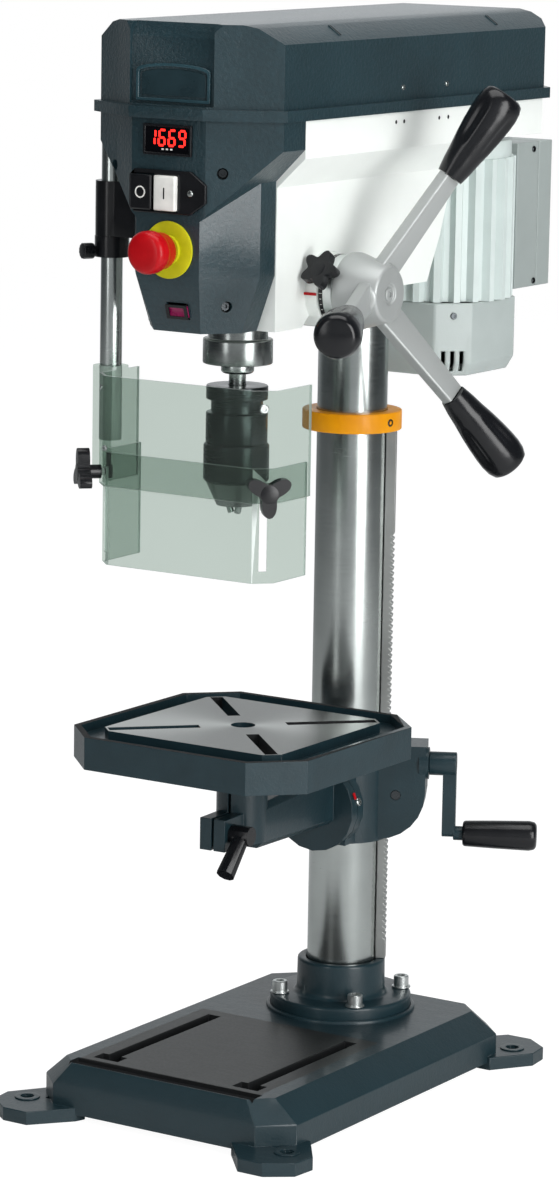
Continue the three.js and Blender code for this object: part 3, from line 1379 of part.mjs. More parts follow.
function makeDepthKnob() {
  const seat = depthRingRadius;
  const stem = solid(rod(knobStemRadius, [seat - depthKnobSink, seat + depthKnobStem + overrun],
    boltSides));
  const star = solid(prism(starOutline(depthKnobLobes, depthKnobWaist, depthKnobRadius, lobeSteps),
    [seat + depthKnobStem, seat + depthKnobStem + depthKnobThickness]));
  return solid(aim(geometryOf(join(stem, star)), knobWay, knobRoot));
}
place('depth_ring', makeDepthRing(), aluminium);
place('depth_knob', makeDepthKnob(), black);

// Return spring: a cup on the left side of the head with a flat spiral spring in it
const cupStart = -bodyHalfWidth - feedBossHeight / 2 - fit;
const cupInner = springCupRadius - springCupWall;

function makeSpringCup() {
  const end = cupStart - springCupLength;
  const profile = [[0, end], [springCupRadius - quillChamfer, end], [springCupRadius, end + quillChamfer],
    [springCupRadius, cupStart], [cupInner, cupStart], [cupInner, end + springCupWall],
    [0, end + springCupWall]];
  return solid(alongX(turned(profile), [0, feedY, feedZ]));
}

function makeReturnSpring() {
  const from = feedShaftRadius + fit + springThickness / 2;
  const to = cupInner * Math.cos(Math.PI / roundSides) - fit - springThickness / 2;
  const steps = Math.round(springTurns * springStepsPerTurn);
  const edge = (side) => Array.from({ length: steps + 1 }, (_, i) => {
    const r = from + (to - from) * i / steps + side * springThickness / 2;
    const angle = i / springStepsPerTurn * full;
    return [r * Math.cos(angle), r * Math.sin(angle)];
  });
  const outline = [...edge(1), ...edge(-1).reverse()];
  const start = cupStart - (springCupLength + springWidth) / 2;
  return solid(alongX(prism(outline, [start, start + springWidth]), [0, feedY, feedZ]));
}
place('spring_housing', makeSpringCup(), greyPaint);
place('return_spring', makeReturnSpring(), steel);

// Pulleys: three steps, each with a groove for the belt
const pulleyTop = pulleyBottom + stepHeight * motorSteps.length;
const grooveRadius = (steps, step) => steps[step] - grooveDepthV;
const stepMiddle = (step) => pulleyBottom + stepHeight * (step + 0.5);

function pulley(steps, bore, sleeve) {
  const half = stepHeight / 2;
  const profile = sleeve ? [[bore, sleeve.bottom], [sleeve.radius, sleeve.bottom],
    [sleeve.radius, pulleyBottom]]
    : [[bore, pulleyBottom]];
  steps.forEach((radius, step) => {
    const z = stepMiddle(step);
    profile.push([radius, z - half], [grooveRadius(steps, step), z - beltWidth / 2 - fit],
      [grooveRadius(steps, step), z + beltWidth / 2 + fit], [radius, z + half]);
  });
  profile.push([bore, pulleyTop], profile[0]);
  return profile;
}

place('spindle_pulley', solid(turned(pulley(spindleSteps, bored(splineRadius, roundSides),
  { radius: driveSleeveRadius, bottom: driveSleeveBottom })).translate(0, spindleY, 0)), aluminium);
place('idler_pulley', solid(turned(pulley(idlerSteps, bored(idlerPostRadius, roundSides)))
  .translate(0, idlerY, 0)), aluminium);
place('motor_pulley', join(solid(turned(pulley(motorSteps, motorShaftRadius - fit))),
  solid(rod(motorShaftRadius, [motorTop - motorShaftSeat, pulleyTop + idlerPostRise], smallSides)))
  .translate([0, motorY, 0]), aluminium);

function makeIdlerArm() {
  const low = trayInside + fit;
  const high = low + idlerArmHeight;
  const post = solid(rod(idlerPostRadius, [low, pulleyTop + idlerPostRise], smallSides)
    .translate(0, idlerY, 0));
  const pivot = solid(rod(idlerPostRadius / 2, [trayBottom, high + idlerPostRise], smallSides)
    .translate(idlerPivotX, idlerPivotY, 0));
  const ends = [[0, idlerY], [idlerPivotX, idlerPivotY]].map(([x, y]) =>
    solid(rod(idlerArmRadius, [low, high], smallSides).translate(x, y, 0)));
  const length = Math.hypot(idlerPivotX, idlerPivotY - idlerY);
  const bar = solid(block([0, length], [-idlerBarHalf, idlerBarHalf], [low, high])
    .rotateZ(Math.atan2(idlerPivotY - idlerY, idlerPivotX)).translate(0, idlerY, 0));
  return join(post, pivot, ...ends, bar);
}
place('idler_arm', makeIdlerArm(), darkSteel);

// A belt round two pulleys: the outer loop less the inner one
function belt(near, far, step) {
  const loop = (extra) => {
    const [[y0, r0], [y1, r1]] = [near, far].map(([y, radius]) => [y, radius + extra]);
    const lean = Math.asin((r1 - r0) / (y1 - y0));
    const arc = (y, r, start, sweep) => Array.from({ length: beltArcSteps + 1 }, (_, i) => {
      const angle = start + sweep * i / beltArcSteps;
      return [r * Math.cos(angle), y + r * Math.sin(angle)];
    });
    return [...arc(y0, r0, Math.PI - lean, Math.PI + 2 * lean), ...arc(y1, r1, -lean, Math.PI + 2 * lean)];
  };
  const z = [stepMiddle(step) - beltWidth / 2, stepMiddle(step) + beltWidth / 2];
  return carve(solid(prism(loop(beltLift + beltHeight), z)),
    solid(prism(loop(beltLift), [z[0] - overrun, z[1] + overrun])));
}
place('motor_belt', belt([idlerY, grooveRadius(idlerSteps, motorBeltStep)],
  [motorY, grooveRadius(motorSteps, motorBeltStep)], motorBeltStep), rubber);
place('spindle_belt', belt([spindleY, grooveRadius(spindleSteps, spindleBeltStep)],
  [idlerY, grooveRadius(idlerSteps, spindleBeltStep)], spindleBeltStep), rubber);

// Motor: finned body with its top bell, fan cover below and terminal box behind
function makeMotor() {
  const finTop = motorTop - motorBellHeight;
  const fins = prism(Array.from({ length: motorFins * 4 }, (_, i) => {
    const radius = i % 4 < 2 ? motorFinRadius : motorCoreRadius;
    const angle = (i + (i % 2) * finLeanShare) / (motorFins * 4) * full;
    return [radius * Math.cos(angle), radius * Math.sin(angle)];
  }), [fanTop + fit, finTop]);
  const bell = rod(motorBellRadius, [finTop, motorTop], wideSides);
  const bore = solid(rod(bored(motorShaftRadius, smallSides),
    [motorTop - motorShaftSeat - fit, motorTop + overrun], smallSides));
  const hollow = solid(rod(motorHollowRadius, [fanTop, finTop - motorHollowCrown], roundSides));
  const pad = solid(block([-boxPadHalfWidth, boxPadHalfWidth], [0, boxPadRear - motorY],
    [boxBottom + boxPadMargin, boxTop - boxPadMargin * 2]));
  return carve(join(solid(fins), solid(bell), pad), bore, hollow).translate([0, motorY, 0]);
}
place('motor_body', makeMotor(), greyPaint);

function makeFanCover() {
  const outline = (half, corner) => cutRectangle([-half, half], [-half, half], corner);
  const shell = (half, low, high) => solid(loft([
    { z: low, outline: outline(half - fanTaper, fanCorner - fanTaper / 2) },
    { z: low + fanTaperHeight, outline: outline(half, fanCorner) },
    { z: high, outline: outline(half, fanCorner) }]));
  const vents = Array.from({ length: ventCount }, (_, i) => {
    const across = (i - (ventCount - 1) / 2) * ventPitch;
    return solid(block([fanHalf - fanCorner, fanHalf * 2], [across - ventWidth / 2, across + ventWidth / 2],
      [fanBottom + ventRise, fanBottom + ventRise + ventHeight]).rotateZ(-Math.PI / 4));
  });
  return carve(shell(fanHalf, fanBottom, fanTop), shell(fanHalf - fanWall, fanBottom + fanWall,
    fanTop + overrun),
    ...vents).translate([0, motorY, 0]);
}
place('motor_fan_cover', makeFanCover(), greyPaint);

function makeTerminalBox() {
  const front = boxPadRear + fit;
  const box = solid(block([-boxHalfWidth, boxHalfWidth], [front, front + boxDepth], [boxBottom, boxTop]));
  const groove = (inset) => solid(block([-boxHalfWidth + inset, boxHalfWidth - inset],
    [front + boxSplit, front + boxSplit + boxGroove], [boxBottom + inset, boxTop - inset]));
  const band = carve(groove(-overrun), groove(boxGroove));
  const middle = (boxBottom + boxTop) / 2;
  const rooms = [-1, 1].map((side) => {
    const [low, high] = side < 0 ? [boxBottom + boxWall, middle - boxWall / 2]
      : [middle + boxWall / 2, boxTop - boxWall];
    const room = solid(block([-boxHalfWidth + boxWall, boxHalfWidth - boxWall],
      [front + boxWall, front + boxDepth - boxWall], [low, high]));
    const neckZ = middle + side * boxNeckHalf * 2;
    const neck = solid(block([-boxNeckHalf, boxNeckHalf], [front - overrun, front + boxWall + overrun],
      [neckZ - boxNeckHalf, neckZ + boxNeckHalf]));
    return join(room, neck);
  });
  return carve(box, band, ...rooms);
}
place('terminal_box', makeTerminalBox(), greyPaint);

// Controls: speed display, switch plate with two push buttons, stop knob and lamp rocker
const panel = coverFront - fit;

const displayTop = trayTop - displayDrop;
const displayBottom = displayTop - displayHeight;

function makeDisplay() {
  const front = panel - displayThickness;
  const body = solid(block([-displayHalfWidth, displayHalfWidth], [front, panel],
    [displayBottom, displayTop]));
  const window = solid(block([-displayHalfWidth + displayBezel, displayHalfWidth - displayBezel],
    [front - overrun, front + displayBezel / 3], [displayBottom + displayBezel, displayTop - displayBezel]));
  return carve(body, window);
}
place('speed_display', makeDisplay(), black);

function makeSwitchPlate() {
  const outline = [[plateLeft, plateBottom + plateCut / 2], [plateLeft + plateCut / 2, plateBottom],
    [plateRight - plateNotch, plateBottom], [plateRight, plateBottom + plateCut],
    [plateRight, plateTop - plateCut], [plateRight - plateNotch, plateTop],
    [plateLeft + plateCut / 2, plateTop], [plateLeft, plateTop - plateCut / 2]];
  const plate = solid(frontPrism(outline, [panel - plateThickness, panel]));
  const pocket = (left) => solid(block([left - fit * 2, left + buttonWidth + fit * 2],
    [panel - plateThickness - overrun, panel + overrun], [buttonBottom - fit * 2, buttonTop + fit * 2]));
  return carve(plate, pocket(stopLeft), pocket(startLeft));
}

function makeButton(left) {
  return solid(block([left, left + buttonWidth], [panel - plateThickness - buttonProud, panel - buttonFloor],
    [buttonBottom, buttonTop]));
}
place('switch_plate', makeSwitchPlate(), black);
place('stop_button', makeButton(stopLeft), black);
place('start_button', makeButton(startLeft), white);

place('estop_disc', solid(alongY(tube(bored(estopStemRadius, roundSides), estopDiscRadius,
  [0, estopDiscThickness]),
  [estopX, panel - estopDiscThickness, estopZ])), yellow);

function makeEstop() {
  const back = coverWall + estopStemBack;
  const profile = [[0, -back], [estopStemRadius, -back], [estopStemRadius, estopHeadBack],
    [estopHeadRadius - estopHeadRound, estopHeadBack], [estopHeadRadius, estopHeadBack + estopHeadRound],
    [estopHeadRadius, estopHeadBack + estopHeadLength - estopHeadRound],
    [estopHeadRadius - estopHeadRound, estopHeadBack + estopHeadLength],
    [0, estopHeadBack + estopHeadLength]];
  return solid(turned(profile).rotateX(Math.PI / 2).translate(estopX, coverFront, estopZ));
}
place('estop_button', makeEstop(), red);

function makeLampSwitch() {
  const back = coverFront + lampBack;
  const dish = coverFront - lampProud / 3;
  const outline = [[back, lampZ - lampHalfHeight / 2], [coverFront - lampProud, lampZ - lampHalfHeight],
    [dish, lampZ], [coverFront - lampProud, lampZ + lampHalfHeight], [back, lampZ + lampHalfHeight / 2]];
  return solid(leanBack(sidePrism(outline, [lampX - lampHalfWidth, lampX + lampHalfWidth])));
}
place('lamp_switch', makeLampSwitch(), magenta);

// Guard: a block on the head, a swivel collar, a post, and two shields that slide on each other
const guardHole = (z) => solid(rod(bored(guardPostRadius, roundSides), z, roundSides)
  .translate(guardPostX, guardPostY, 0));

function makeGuardBlock() {
  const boss = solid(rod(guardBlockHalf, [guardBlockBottom, guardBlockTop], roundSides)
    .translate(guardPostX, guardPostY, 0));
  const arm = solid(block([guardPostX, -bodyHalfWidth - fit * 2],
    [guardPostY - guardBlockCorner, guardPostY + guardBlockCorner], [guardBlockBottom, guardBlockTop]));
  return carve(join(boss, arm), guardHole([guardBlockBottom - overrun, guardBlockTop + overrun]));
}
place('guard_block', makeGuardBlock(), black);

const collarTop = guardBlockBottom - fit;
const collarBottom = collarTop - guardCollarHeight;
const knobLine = (collarTop + collarBottom) / 2 - guardKnobDrop;
const guardKnobWay = [-Math.sin(guardKnobTurn), -Math.cos(guardKnobTurn), 0];

function makeGuardCollar() {
  const ring = solid(rod(guardCollarRadius, [collarBottom, collarTop], roundSides)
    .translate(guardPostX, guardPostY, 0));
  const hole = solid(aim(rod(bored(knobStemRadius, boltSides), [0, guardCollarRadius + overrun], boltSides),
    guardKnobWay, [guardPostX, guardPostY, knobLine]));
  return carve(ring, guardHole([collarBottom - overrun, collarTop + overrun]), hole);
}
place('guard_collar', makeGuardCollar(), black);

function makeGuardKnob() {
  const head = guardCollarRadius + guardKnobStem;
  const end = head + guardKnobLength;
  const stem = solid(rod(knobStemRadius, [guardPostRadius + fit * 2, head + overrun], boltSides));
  const knob = solid(turned([[0, head], [guardKnobRadius - quillChamfer, head],
    [guardKnobRadius, head + quillChamfer], [guardKnobRadius, end - quillChamfer],
    [guardKnobRadius - quillChamfer, end], [0, end]], smallSides));
  return solid(aim(geometryOf(join(stem, knob)), guardKnobWay, [guardPostX, guardPostY, knobLine]));
}
place('guard_knob', makeGuardKnob(), black);
place('guard_post', solid(rod(guardPostRadius, [guardPostBottom, guardPostTop], roundSides)
  .translate(guardPostX, guardPostY, 0)), steel);

const shieldLeft = guardPostX + guardPostRadius + fit;

// A wall bent round three sides, with its two front corners cut
function bentWall(inset, wall, z) {
  const corner = (depth) => shieldCorner - depth * (2 - Math.SQRT2);
  const path = (depth) => {
    const cut = corner(depth);
    const [left, right, front] = [shieldLeft + depth, shieldRight - depth, shieldFront + depth];
    return [[left, shieldRearLeft], [left, front + cut], [left + cut, front], [right - cut, front],
      [right, front + cut], [right, shieldRearRight]];
  };
  return solid(prism([...path(inset), ...path(inset + wall).reverse()], z));
}

// The middle of a cut front corner, and the way out of it
function cornerSpot(side) {
  const half = shieldCorner / 2;
  const x = side < 0 ? shieldLeft + half : shieldRight - half;
  return { spot: [x, shieldFront + half, knobHeight], way: [side * Math.SQRT1_2, -Math.SQRT1_2, 0] };
}

function makeUpperShield() {
  const holes = [-1, 1].map((side) => {
    const { spot, way } = cornerSpot(side);
    return solid(aim(rod(bored(shieldStemRadius, boltSides), [-shieldWall * 2, shieldWall], boltSides),
      way, spot));
  });
  const socketReach = guardPostRadius + postSocketWall;
  const socket = carve(solid(rod(socketReach, [postSocketBottom, postSocketTop], roundSides)
    .translate(guardPostX, guardPostY, 0)), solid(block([shieldLeft + shieldWall,
      shieldLeft + socketReach * 2],
    [guardPostY - socketReach * 2, guardPostY + socketReach * 2], [postSocketBottom - overrun,
      postSocketTop + overrun])));
  return carve(join(bentWall(0, shieldWall, [shieldBottom, shieldTop]), socket),
    guardHole([guardPostBottom - fit, postSocketTop + overrun]), ...holes);
}

function makeLowerShield() {
  const inset = shieldWall + shieldGap;
  const slots = [-1, 1].map((side) => {
    const { spot, way } = cornerSpot(side);
    const cutter = block([-inset * 3, inset], [-shieldSlotWidth / 2, shieldSlotWidth / 2],
      [shieldSlotBottom, shieldSlotTop]);
    return solid(cutter.rotateZ(Math.atan2(way[1], way[0])).translate(spot[0], spot[1], 0));
  });
  return carve(bentWall(inset, shieldWall, [lowerBottom, lowerTop]), ...slots);
}
place('upper_shield', makeUpperShield(), clearPlastic);
place('lower_shield', makeLowerShield(), clearPlastic);

// One lobe of the right knob points straight down; the left knob is turned a quarter further
const knobRoll = (side) => (side > 0 ? shieldKnobRoll : shieldKnobRoll + Math.PI / 2);

function makeShieldKnob(side) {
  const { spot, way } = cornerSpot(side);
  const inner = -shieldWall * 2 - shieldGap - fit;
  const stand = shieldKnobStand;
  const stem = solid(rod(shieldStemRadius, [inner - shieldNutThickness + fit, stand + overrun], boltSides));
  const nut = solid(rod(shieldNutRadius, [inner - shieldNutThickness, inner], hexSides));
  const washer = solid(rod(shieldNutRadius, [fit, stand], boltSides));
  const star = solid(prism(starOutline(shieldKnobLobes, shieldKnobWaist, shieldKnobRadius, lobeSteps),
    [stand, stand + shieldKnobThickness]));
  return solid(aim(geometryOf(join(stem, nut, washer, star)), way, spot, knobRoll(side)));
}
place('shield_knob_left', makeShieldKnob(-1), black);
place('shield_knob_right', makeShieldKnob(1), black);

export default press;
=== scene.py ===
"""The looks of a bench drill press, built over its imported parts, with a studio to photograph it in."""
import json
from contextlib import contextmanager
from math import atan2, cos, pi, radians, sin, sqrt, tau

import bmesh
import bpy
from bpy.props import FloatProperty, FloatVectorProperty, IntProperty, PointerProperty
from mathutils import Matrix, Vector


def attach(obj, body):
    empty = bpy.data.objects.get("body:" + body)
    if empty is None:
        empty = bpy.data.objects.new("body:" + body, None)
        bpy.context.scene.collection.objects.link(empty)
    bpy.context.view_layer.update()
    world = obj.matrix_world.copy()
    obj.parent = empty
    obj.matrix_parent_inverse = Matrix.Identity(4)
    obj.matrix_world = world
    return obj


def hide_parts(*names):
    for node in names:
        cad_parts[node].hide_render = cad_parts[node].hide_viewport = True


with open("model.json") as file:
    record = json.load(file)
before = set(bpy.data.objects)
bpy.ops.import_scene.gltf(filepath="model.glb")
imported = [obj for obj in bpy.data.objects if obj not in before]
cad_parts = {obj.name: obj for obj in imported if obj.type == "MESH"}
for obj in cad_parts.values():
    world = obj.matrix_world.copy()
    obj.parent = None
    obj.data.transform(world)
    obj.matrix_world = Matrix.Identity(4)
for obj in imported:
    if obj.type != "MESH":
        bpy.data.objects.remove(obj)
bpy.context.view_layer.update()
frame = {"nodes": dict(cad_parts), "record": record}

bl_info = {
    "name": "Drill press looks",
    "version": (1, 0, 0),
    "blender": (4, 5, 0),
    "location": "3D View > Sidebar > Drill press",
    "description": "Builds the finished surfaces of a bench drill press over its packed parts",
    "category": "Object",
}

BODY_OF = {node: body for body, nodes in frame["record"]["behaviour"]["bodies"].items() for node in nodes}
MM = 0.001
X, Y, Z = Vector((1, 0, 0)), Vector((0, 1, 0)), Vector((0, 0, 1))


# Places and directions, in millimetres
def move(x, y, z):
    return Matrix.Translation((x, y, z))


def along(direction, origin=(0, 0, 0), roll=0.0):
    """What is made along z lies along a direction, from a point."""
    turn = Z.rotation_difference(Vector(direction)).to_matrix().to_4x4()
    return move(*origin) @ turn @ Matrix.Rotation(roll, 4, "Z")


def axes(x, y, z, origin=(0, 0, 0)):
    """A matrix from its three axes and its origin."""
    columns = Matrix((Vector(x).normalized(), Vector(y).normalized(), Vector(z).normalized())).transposed()
    return move(*origin) @ columns.to_4x4()


# Sizes and places that several pieces share, in millimetres
SWING = Matrix.Rotation(radians(3.3), 4, "Z")  # how far the table is swung round the column
TABLE = Vector((12.57, -217.94, 0))
CRANK_WAY = Vector((cos(radians(24)), sin(radians(24)), 0))
CRANK_SIDE = Vector((-CRANK_WAY.y, CRANK_WAY.x, 0))
CRANK = SWING @ axes(CRANK_SIDE, Z, CRANK_WAY, CRANK_SIDE * -14 + Z * 329)
COLUMN_RADIUS = 36.5
COLUMN_BORE = 37.1
BASE_TOP = 58.3
SPINDLE = move(0, -219, 0)
FEED = (0, -177, 847)
ACROSS = along(X, FEED)
COVER_FRONT = -346
LID_FRONT = axes(X, Z, -Y, (0, -338, 0))


def on_cover(right, height, out=0.0):
    """A place on the front cover's face."""
    return axes(X, Z, -Y, (0, COVER_FRONT, 0)) @ move(right, height, out)


# Shader nodes written as sums
def math_node(operation, reflected=False):
    """A Python operator that adds a Math node."""
    def apply(self, other):
        pair = (other, self) if reflected else (self, other)
        return self.nodes.math(operation, *pair)
    return apply


class Value:
    """A number in a node tree, which can be used in a Python expression."""

    def __init__(self, nodes, socket):
        self.nodes, self.socket = nodes, socket

    __add__ = __radd__ = math_node("ADD")
    __mul__ = __rmul__ = math_node("MULTIPLY")
    __sub__, __rsub__ = math_node("SUBTRACT"), math_node("SUBTRACT", reflected=True)
    __pow__, __rpow__ = math_node("POWER"), math_node("POWER", reflected=True)
    __gt__, __lt__ = math_node("GREATER_THAN"), math_node("LESS_THAN")

    def sine(self):
        return self.nodes.math("SINE", self, 0)

    def around(self, other):
        """The angle of the point whose two coordinates are other and this."""
        return self.nodes.math("ARCTAN2", self, other)

    def size(self):
        """The number without its sign."""
        return self.nodes.math("ABSOLUTE", self, 0)

    def within(self, low, high):
        """0 below low, 1 above high, and a straight ramp between them."""
        return self.nodes.node("ShaderNodeMapRange", {"clamp": True},
                               {"Value": self, "From Min": low, "From Max": high})


class Nodes:
    """An emptied node tree and its output."""

    def __init__(self, tree, output):
        self.tree = tree
        self.tree.nodes.clear()
        self.output = self.tree.nodes.new(output)

    def node(self, kind, settings, inputs, output=0):
        """Adds a node: its settings first, then its inputs, as values or links. Gives one of its outputs."""
        node = self.tree.nodes.new(kind)
        for key, value in settings.items():
            setattr(node, key, value)
        for key, value in inputs.items():
            if isinstance(value, Value):
                self.tree.links.new(value.socket, node.inputs[key])
            else:
                node.inputs[key].default_value = value
        return Value(self, node.outputs[output])

    def math(self, operation, a, b):
        return self.node("ShaderNodeMath", {"operation": operation}, {0: a, 1: b})

    def mixed(self, factor, low, high):
        """A colour between two colours."""
        return self.node("ShaderNodeMix", {"data_type": "RGBA"}, {0: factor, 6: low, 7: high}, 2)

    def shown(self, surface):
        """Ends the tree in a surface."""
        self.tree.links.new(surface.socket, self.output.inputs["Surface"])

    def picked(self, factor, low, high):
        """Shows the first surface where the factor is 0 and the second where it is 1."""
        self.shown(self.node("ShaderNodeMixShader", {}, {0: factor, 1: low, 2: high}))


class Shader(Nodes):
    """A material and the nodes in it. Noise is counted in waves per metre."""

    def __init__(self, name):
        self.material = bpy.data.materials.new(name)
        self.material.use_nodes = True
        super().__init__(self.material.node_tree, "ShaderNodeOutputMaterial")
        self.place = self.node("ShaderNodeTexCoord", {}, {}, "Object")

    def split(self):
        """The three coordinates of the place."""
        return [self.node("ShaderNodeSeparateXYZ", {}, {"Vector": self.place}, i) for i in range(3)]

    def stretched(self, x, y, z):
        """The place with each coordinate multiplied."""
        return self.node("ShaderNodeVectorMath", {"operation": "MULTIPLY"}, {0: self.place, 1: (x, y, z)})

    def noise(self, scale, detail=2, place=None):
        """Smooth random values around one half."""
        return self.node("ShaderNodeTexNoise", {},
                         {"Vector": place or self.place, "Scale": scale, "Detail": detail})

    def sprayed(self, peel_scale):
        """Sprayed paint: its clouds of colour, its peel, and the height of the peel and of broader waves."""
        peel = self.noise(peel_scale)
        return self.noise(28, 3), peel, peel * 0.7 + self.noise(90) * 0.8

    def uneven(self, factor, colour, share):
        """A colour that is darker or lighter by up to a share of itself."""
        return self.mixed(factor, shade(colour, 1 - share), shade(colour, 1 + share))

    def bump(self, height, distance):
        return self.node("ShaderNodeBump", {}, {"Height": height, "Distance": distance})

    def surface(self, **inputs):
        """A surface whose inputs are given with _ for a space."""
        named = {key.replace("_", " "): value for key, value in inputs.items()}
        return self.node("ShaderNodeBsdfPrincipled", {}, named)

    def finish(self, **inputs):
        """Ends the tree in one such surface."""
        self.shown(self.surface(**inputs))
        return self.material


def shade(colour, factor):
    """A colour made darker or lighter, with its alpha."""
    return tuple(min(1.0, part * factor) for part in colour[:3]) + (1.0,)


PAINT_GLOSS = 0.12


def enamel(name, colour, settings, roughness, peel, cloudy=0.12, coat=0.1):
    """Sprayed enamel over a casting: slightly uneven colour, orange peel and a soft shine."""
    s = Shader(name)
    cloud, grain, height = s.sprayed(settings.peel_scale)
    return s.finish(Base_Color=s.uneven(cloud.within(0.3, 0.7), colour, cloudy),
                    Roughness=grain * 0.14 + (roughness - 0.07), Coat_Weight=coat, Coat_Roughness=PAINT_GLOSS,
                    Specular_IOR_Level=0.28, Normal=s.bump(height, peel))


def moulded(name, colour, roughness, sheen=0.0, shine=0.4, grain=0.00002, scale=2600):
    """Moulded plastic: a fine grain, with small changes of shine where it has been handled."""
    s = Shader(name)
    smear = s.noise(45, 3)
    return s.finish(Base_Color=s.uneven(smear.within(0.3, 0.75), colour, 0.15),
                    Roughness=smear * 0.16 + (roughness - 0.08), Coat_Weight=sheen,
                    Specular_IOR_Level=shine, Normal=s.bump(s.noise(scale), grain))


def metal(name, colour, settings, roughness, lines, depth=0.000006):
    """Worked metal: fine tool lines, stretched across them, and a thin film of stains."""
    s = Shader(name)
    marks = s.noise(1, 3, s.stretched(*lines))
    film = s.noise(18, 4)
    rough = marks * settings.line_contrast + film * 0.08 + (roughness - settings.line_contrast / 2)
    return s.finish(Base_Color=s.uneven(film.within(0.35, 0.75), colour, 0.1), Metallic=1.0, Roughness=rough,
                    Normal=s.bump(marks, depth))


def cast(name, colour):
    """Cast and blasted aluminium: pale, fine-grained and only a little shiny."""
    s = Shader(name)
    grain = s.noise(900)
    uneven = s.uneven(s.noise(20), colour, 0.05)
    return s.finish(Base_Color=uneven, Metallic=0.4, Roughness=grain * 0.1 + 0.38,
                    Normal=s.bump(grain, 0.00002))


def milled(name, colour, centre, pitch, painted_fan_angle):
    """A face-milled top: fine rings round the middle, and a painted sheen in the colour that fans out to two
    sides.
    """
    s = Shader(name)
    x, y, _ = s.split()
    across, away = x - centre.x * MM, y - centre.y * MM
    radius = (across ** 2 + away ** 2) ** 0.5
    rings = (radius * (tau / pitch)).sine()
    turns = s.noise(1, 2, s.node("ShaderNodeCombineXYZ", {}, {"X": radius * 900}))
    # painted sheen: the colour turns lighter and darker with the angle round the middle, in place of the
    # milling rings' highlights
    fan = (away.around(across) * 2 + painted_fan_angle).sine()
    sheen = (fan * 0.5 + 0.5) ** 2 * 0.75 + turns * 0.4
    return s.finish(Base_Color=s.mixed(sheen.within(0.1, 1.0), shade(colour, 0.55), shade(colour, 1.7)),
                    Metallic=0.85, Roughness=turns * 0.14 + 0.24,
                    Normal=s.bump(rings + s.noise(500), 0.000012))


def base_finish(name, paint, iron, settings):
    """Enamel, with a machined and oiled rectangle on top of the base between its groove and the column."""
    s = Shader(name)
    x, y, z = s.split()
    ragged = s.noise(60, 3) * 0.004
    bare = (z > 0.0572) * (x.size() + ragged < 0.1115) * (y + ragged < -0.098) * (y > -0.3255)
    film = s.noise(30, 3, s.stretched(1, 12, 1))
    cloud, grain, height = s.sprayed(settings.peel_scale)
    painted = s.mixed(cloud, shade(paint, 0.86), shade(paint, 1.12))
    return s.finish(Base_Color=s.mixed(bare, painted, s.uneven(film, iron, 0.3)), Metallic=bare * 0.6,
                    Roughness=grain * 0.12 + film * 0.1 + 0.3, Specular_IOR_Level=0.34,
                    Coat_Weight=(1 - bare) * 0.25, Coat_Roughness=PAINT_GLOSS,
                    Normal=s.bump(height * (1 - bare), settings.peel_depth))


def speckled(name, colour, settings):
    """Painted cover with a coarse speckle, as the lid and the front cover have."""
    s = Shader(name)
    bumps, fine = s.noise(260), s.noise(900)
    tone = s.noise(14) * 0.5 + bumps * 0.5
    return s.finish(Base_Color=s.mixed(tone.within(0.3, 0.7), shade(colour, 0.8), shade(colour, 1.25)),
                    Roughness=fine * 0.2 + 0.24, Coat_Weight=0.35, Coat_Roughness=0.16,
                    Specular_IOR_Level=0.38, Normal=s.bump(bumps + fine * 0.5, settings.peel_depth * 2.2))


def clear(name, colour, tint, gloss, haze_share=0.04):
    """Clear sheet, tinted where light goes through it, with a gloss and faint scratches."""
    s = Shader(name)
    scratch = s.noise(1, 2, s.stretched(400, 400, 30))
    haze = s.noise(9, 3)
    surface = s.surface(Base_Color=s.uneven(haze, colour, 0.1), Roughness=haze * 0.08 + 0.05,
                        Normal=s.bump(scratch, 0.000004))
    through = s.node("ShaderNodeBsdfTransparent", {}, {"Color": tint})
    s.picked(haze * haze_share + gloss, through, surface)
    return s.material


def glowing(name, colour, strength):
    """Lit segments of a readout."""
    s = Shader(name)
    level = s.noise(300, 1)
    return s.finish(Base_Color=shade(colour, 0.6), Roughness=level * 0.1 + 0.3,
                    Emission_Color=s.mixed(level, shade(colour, 0.85), shade(colour, 1.1)),
                    Emission_Strength=strength)


LOOKS = {}


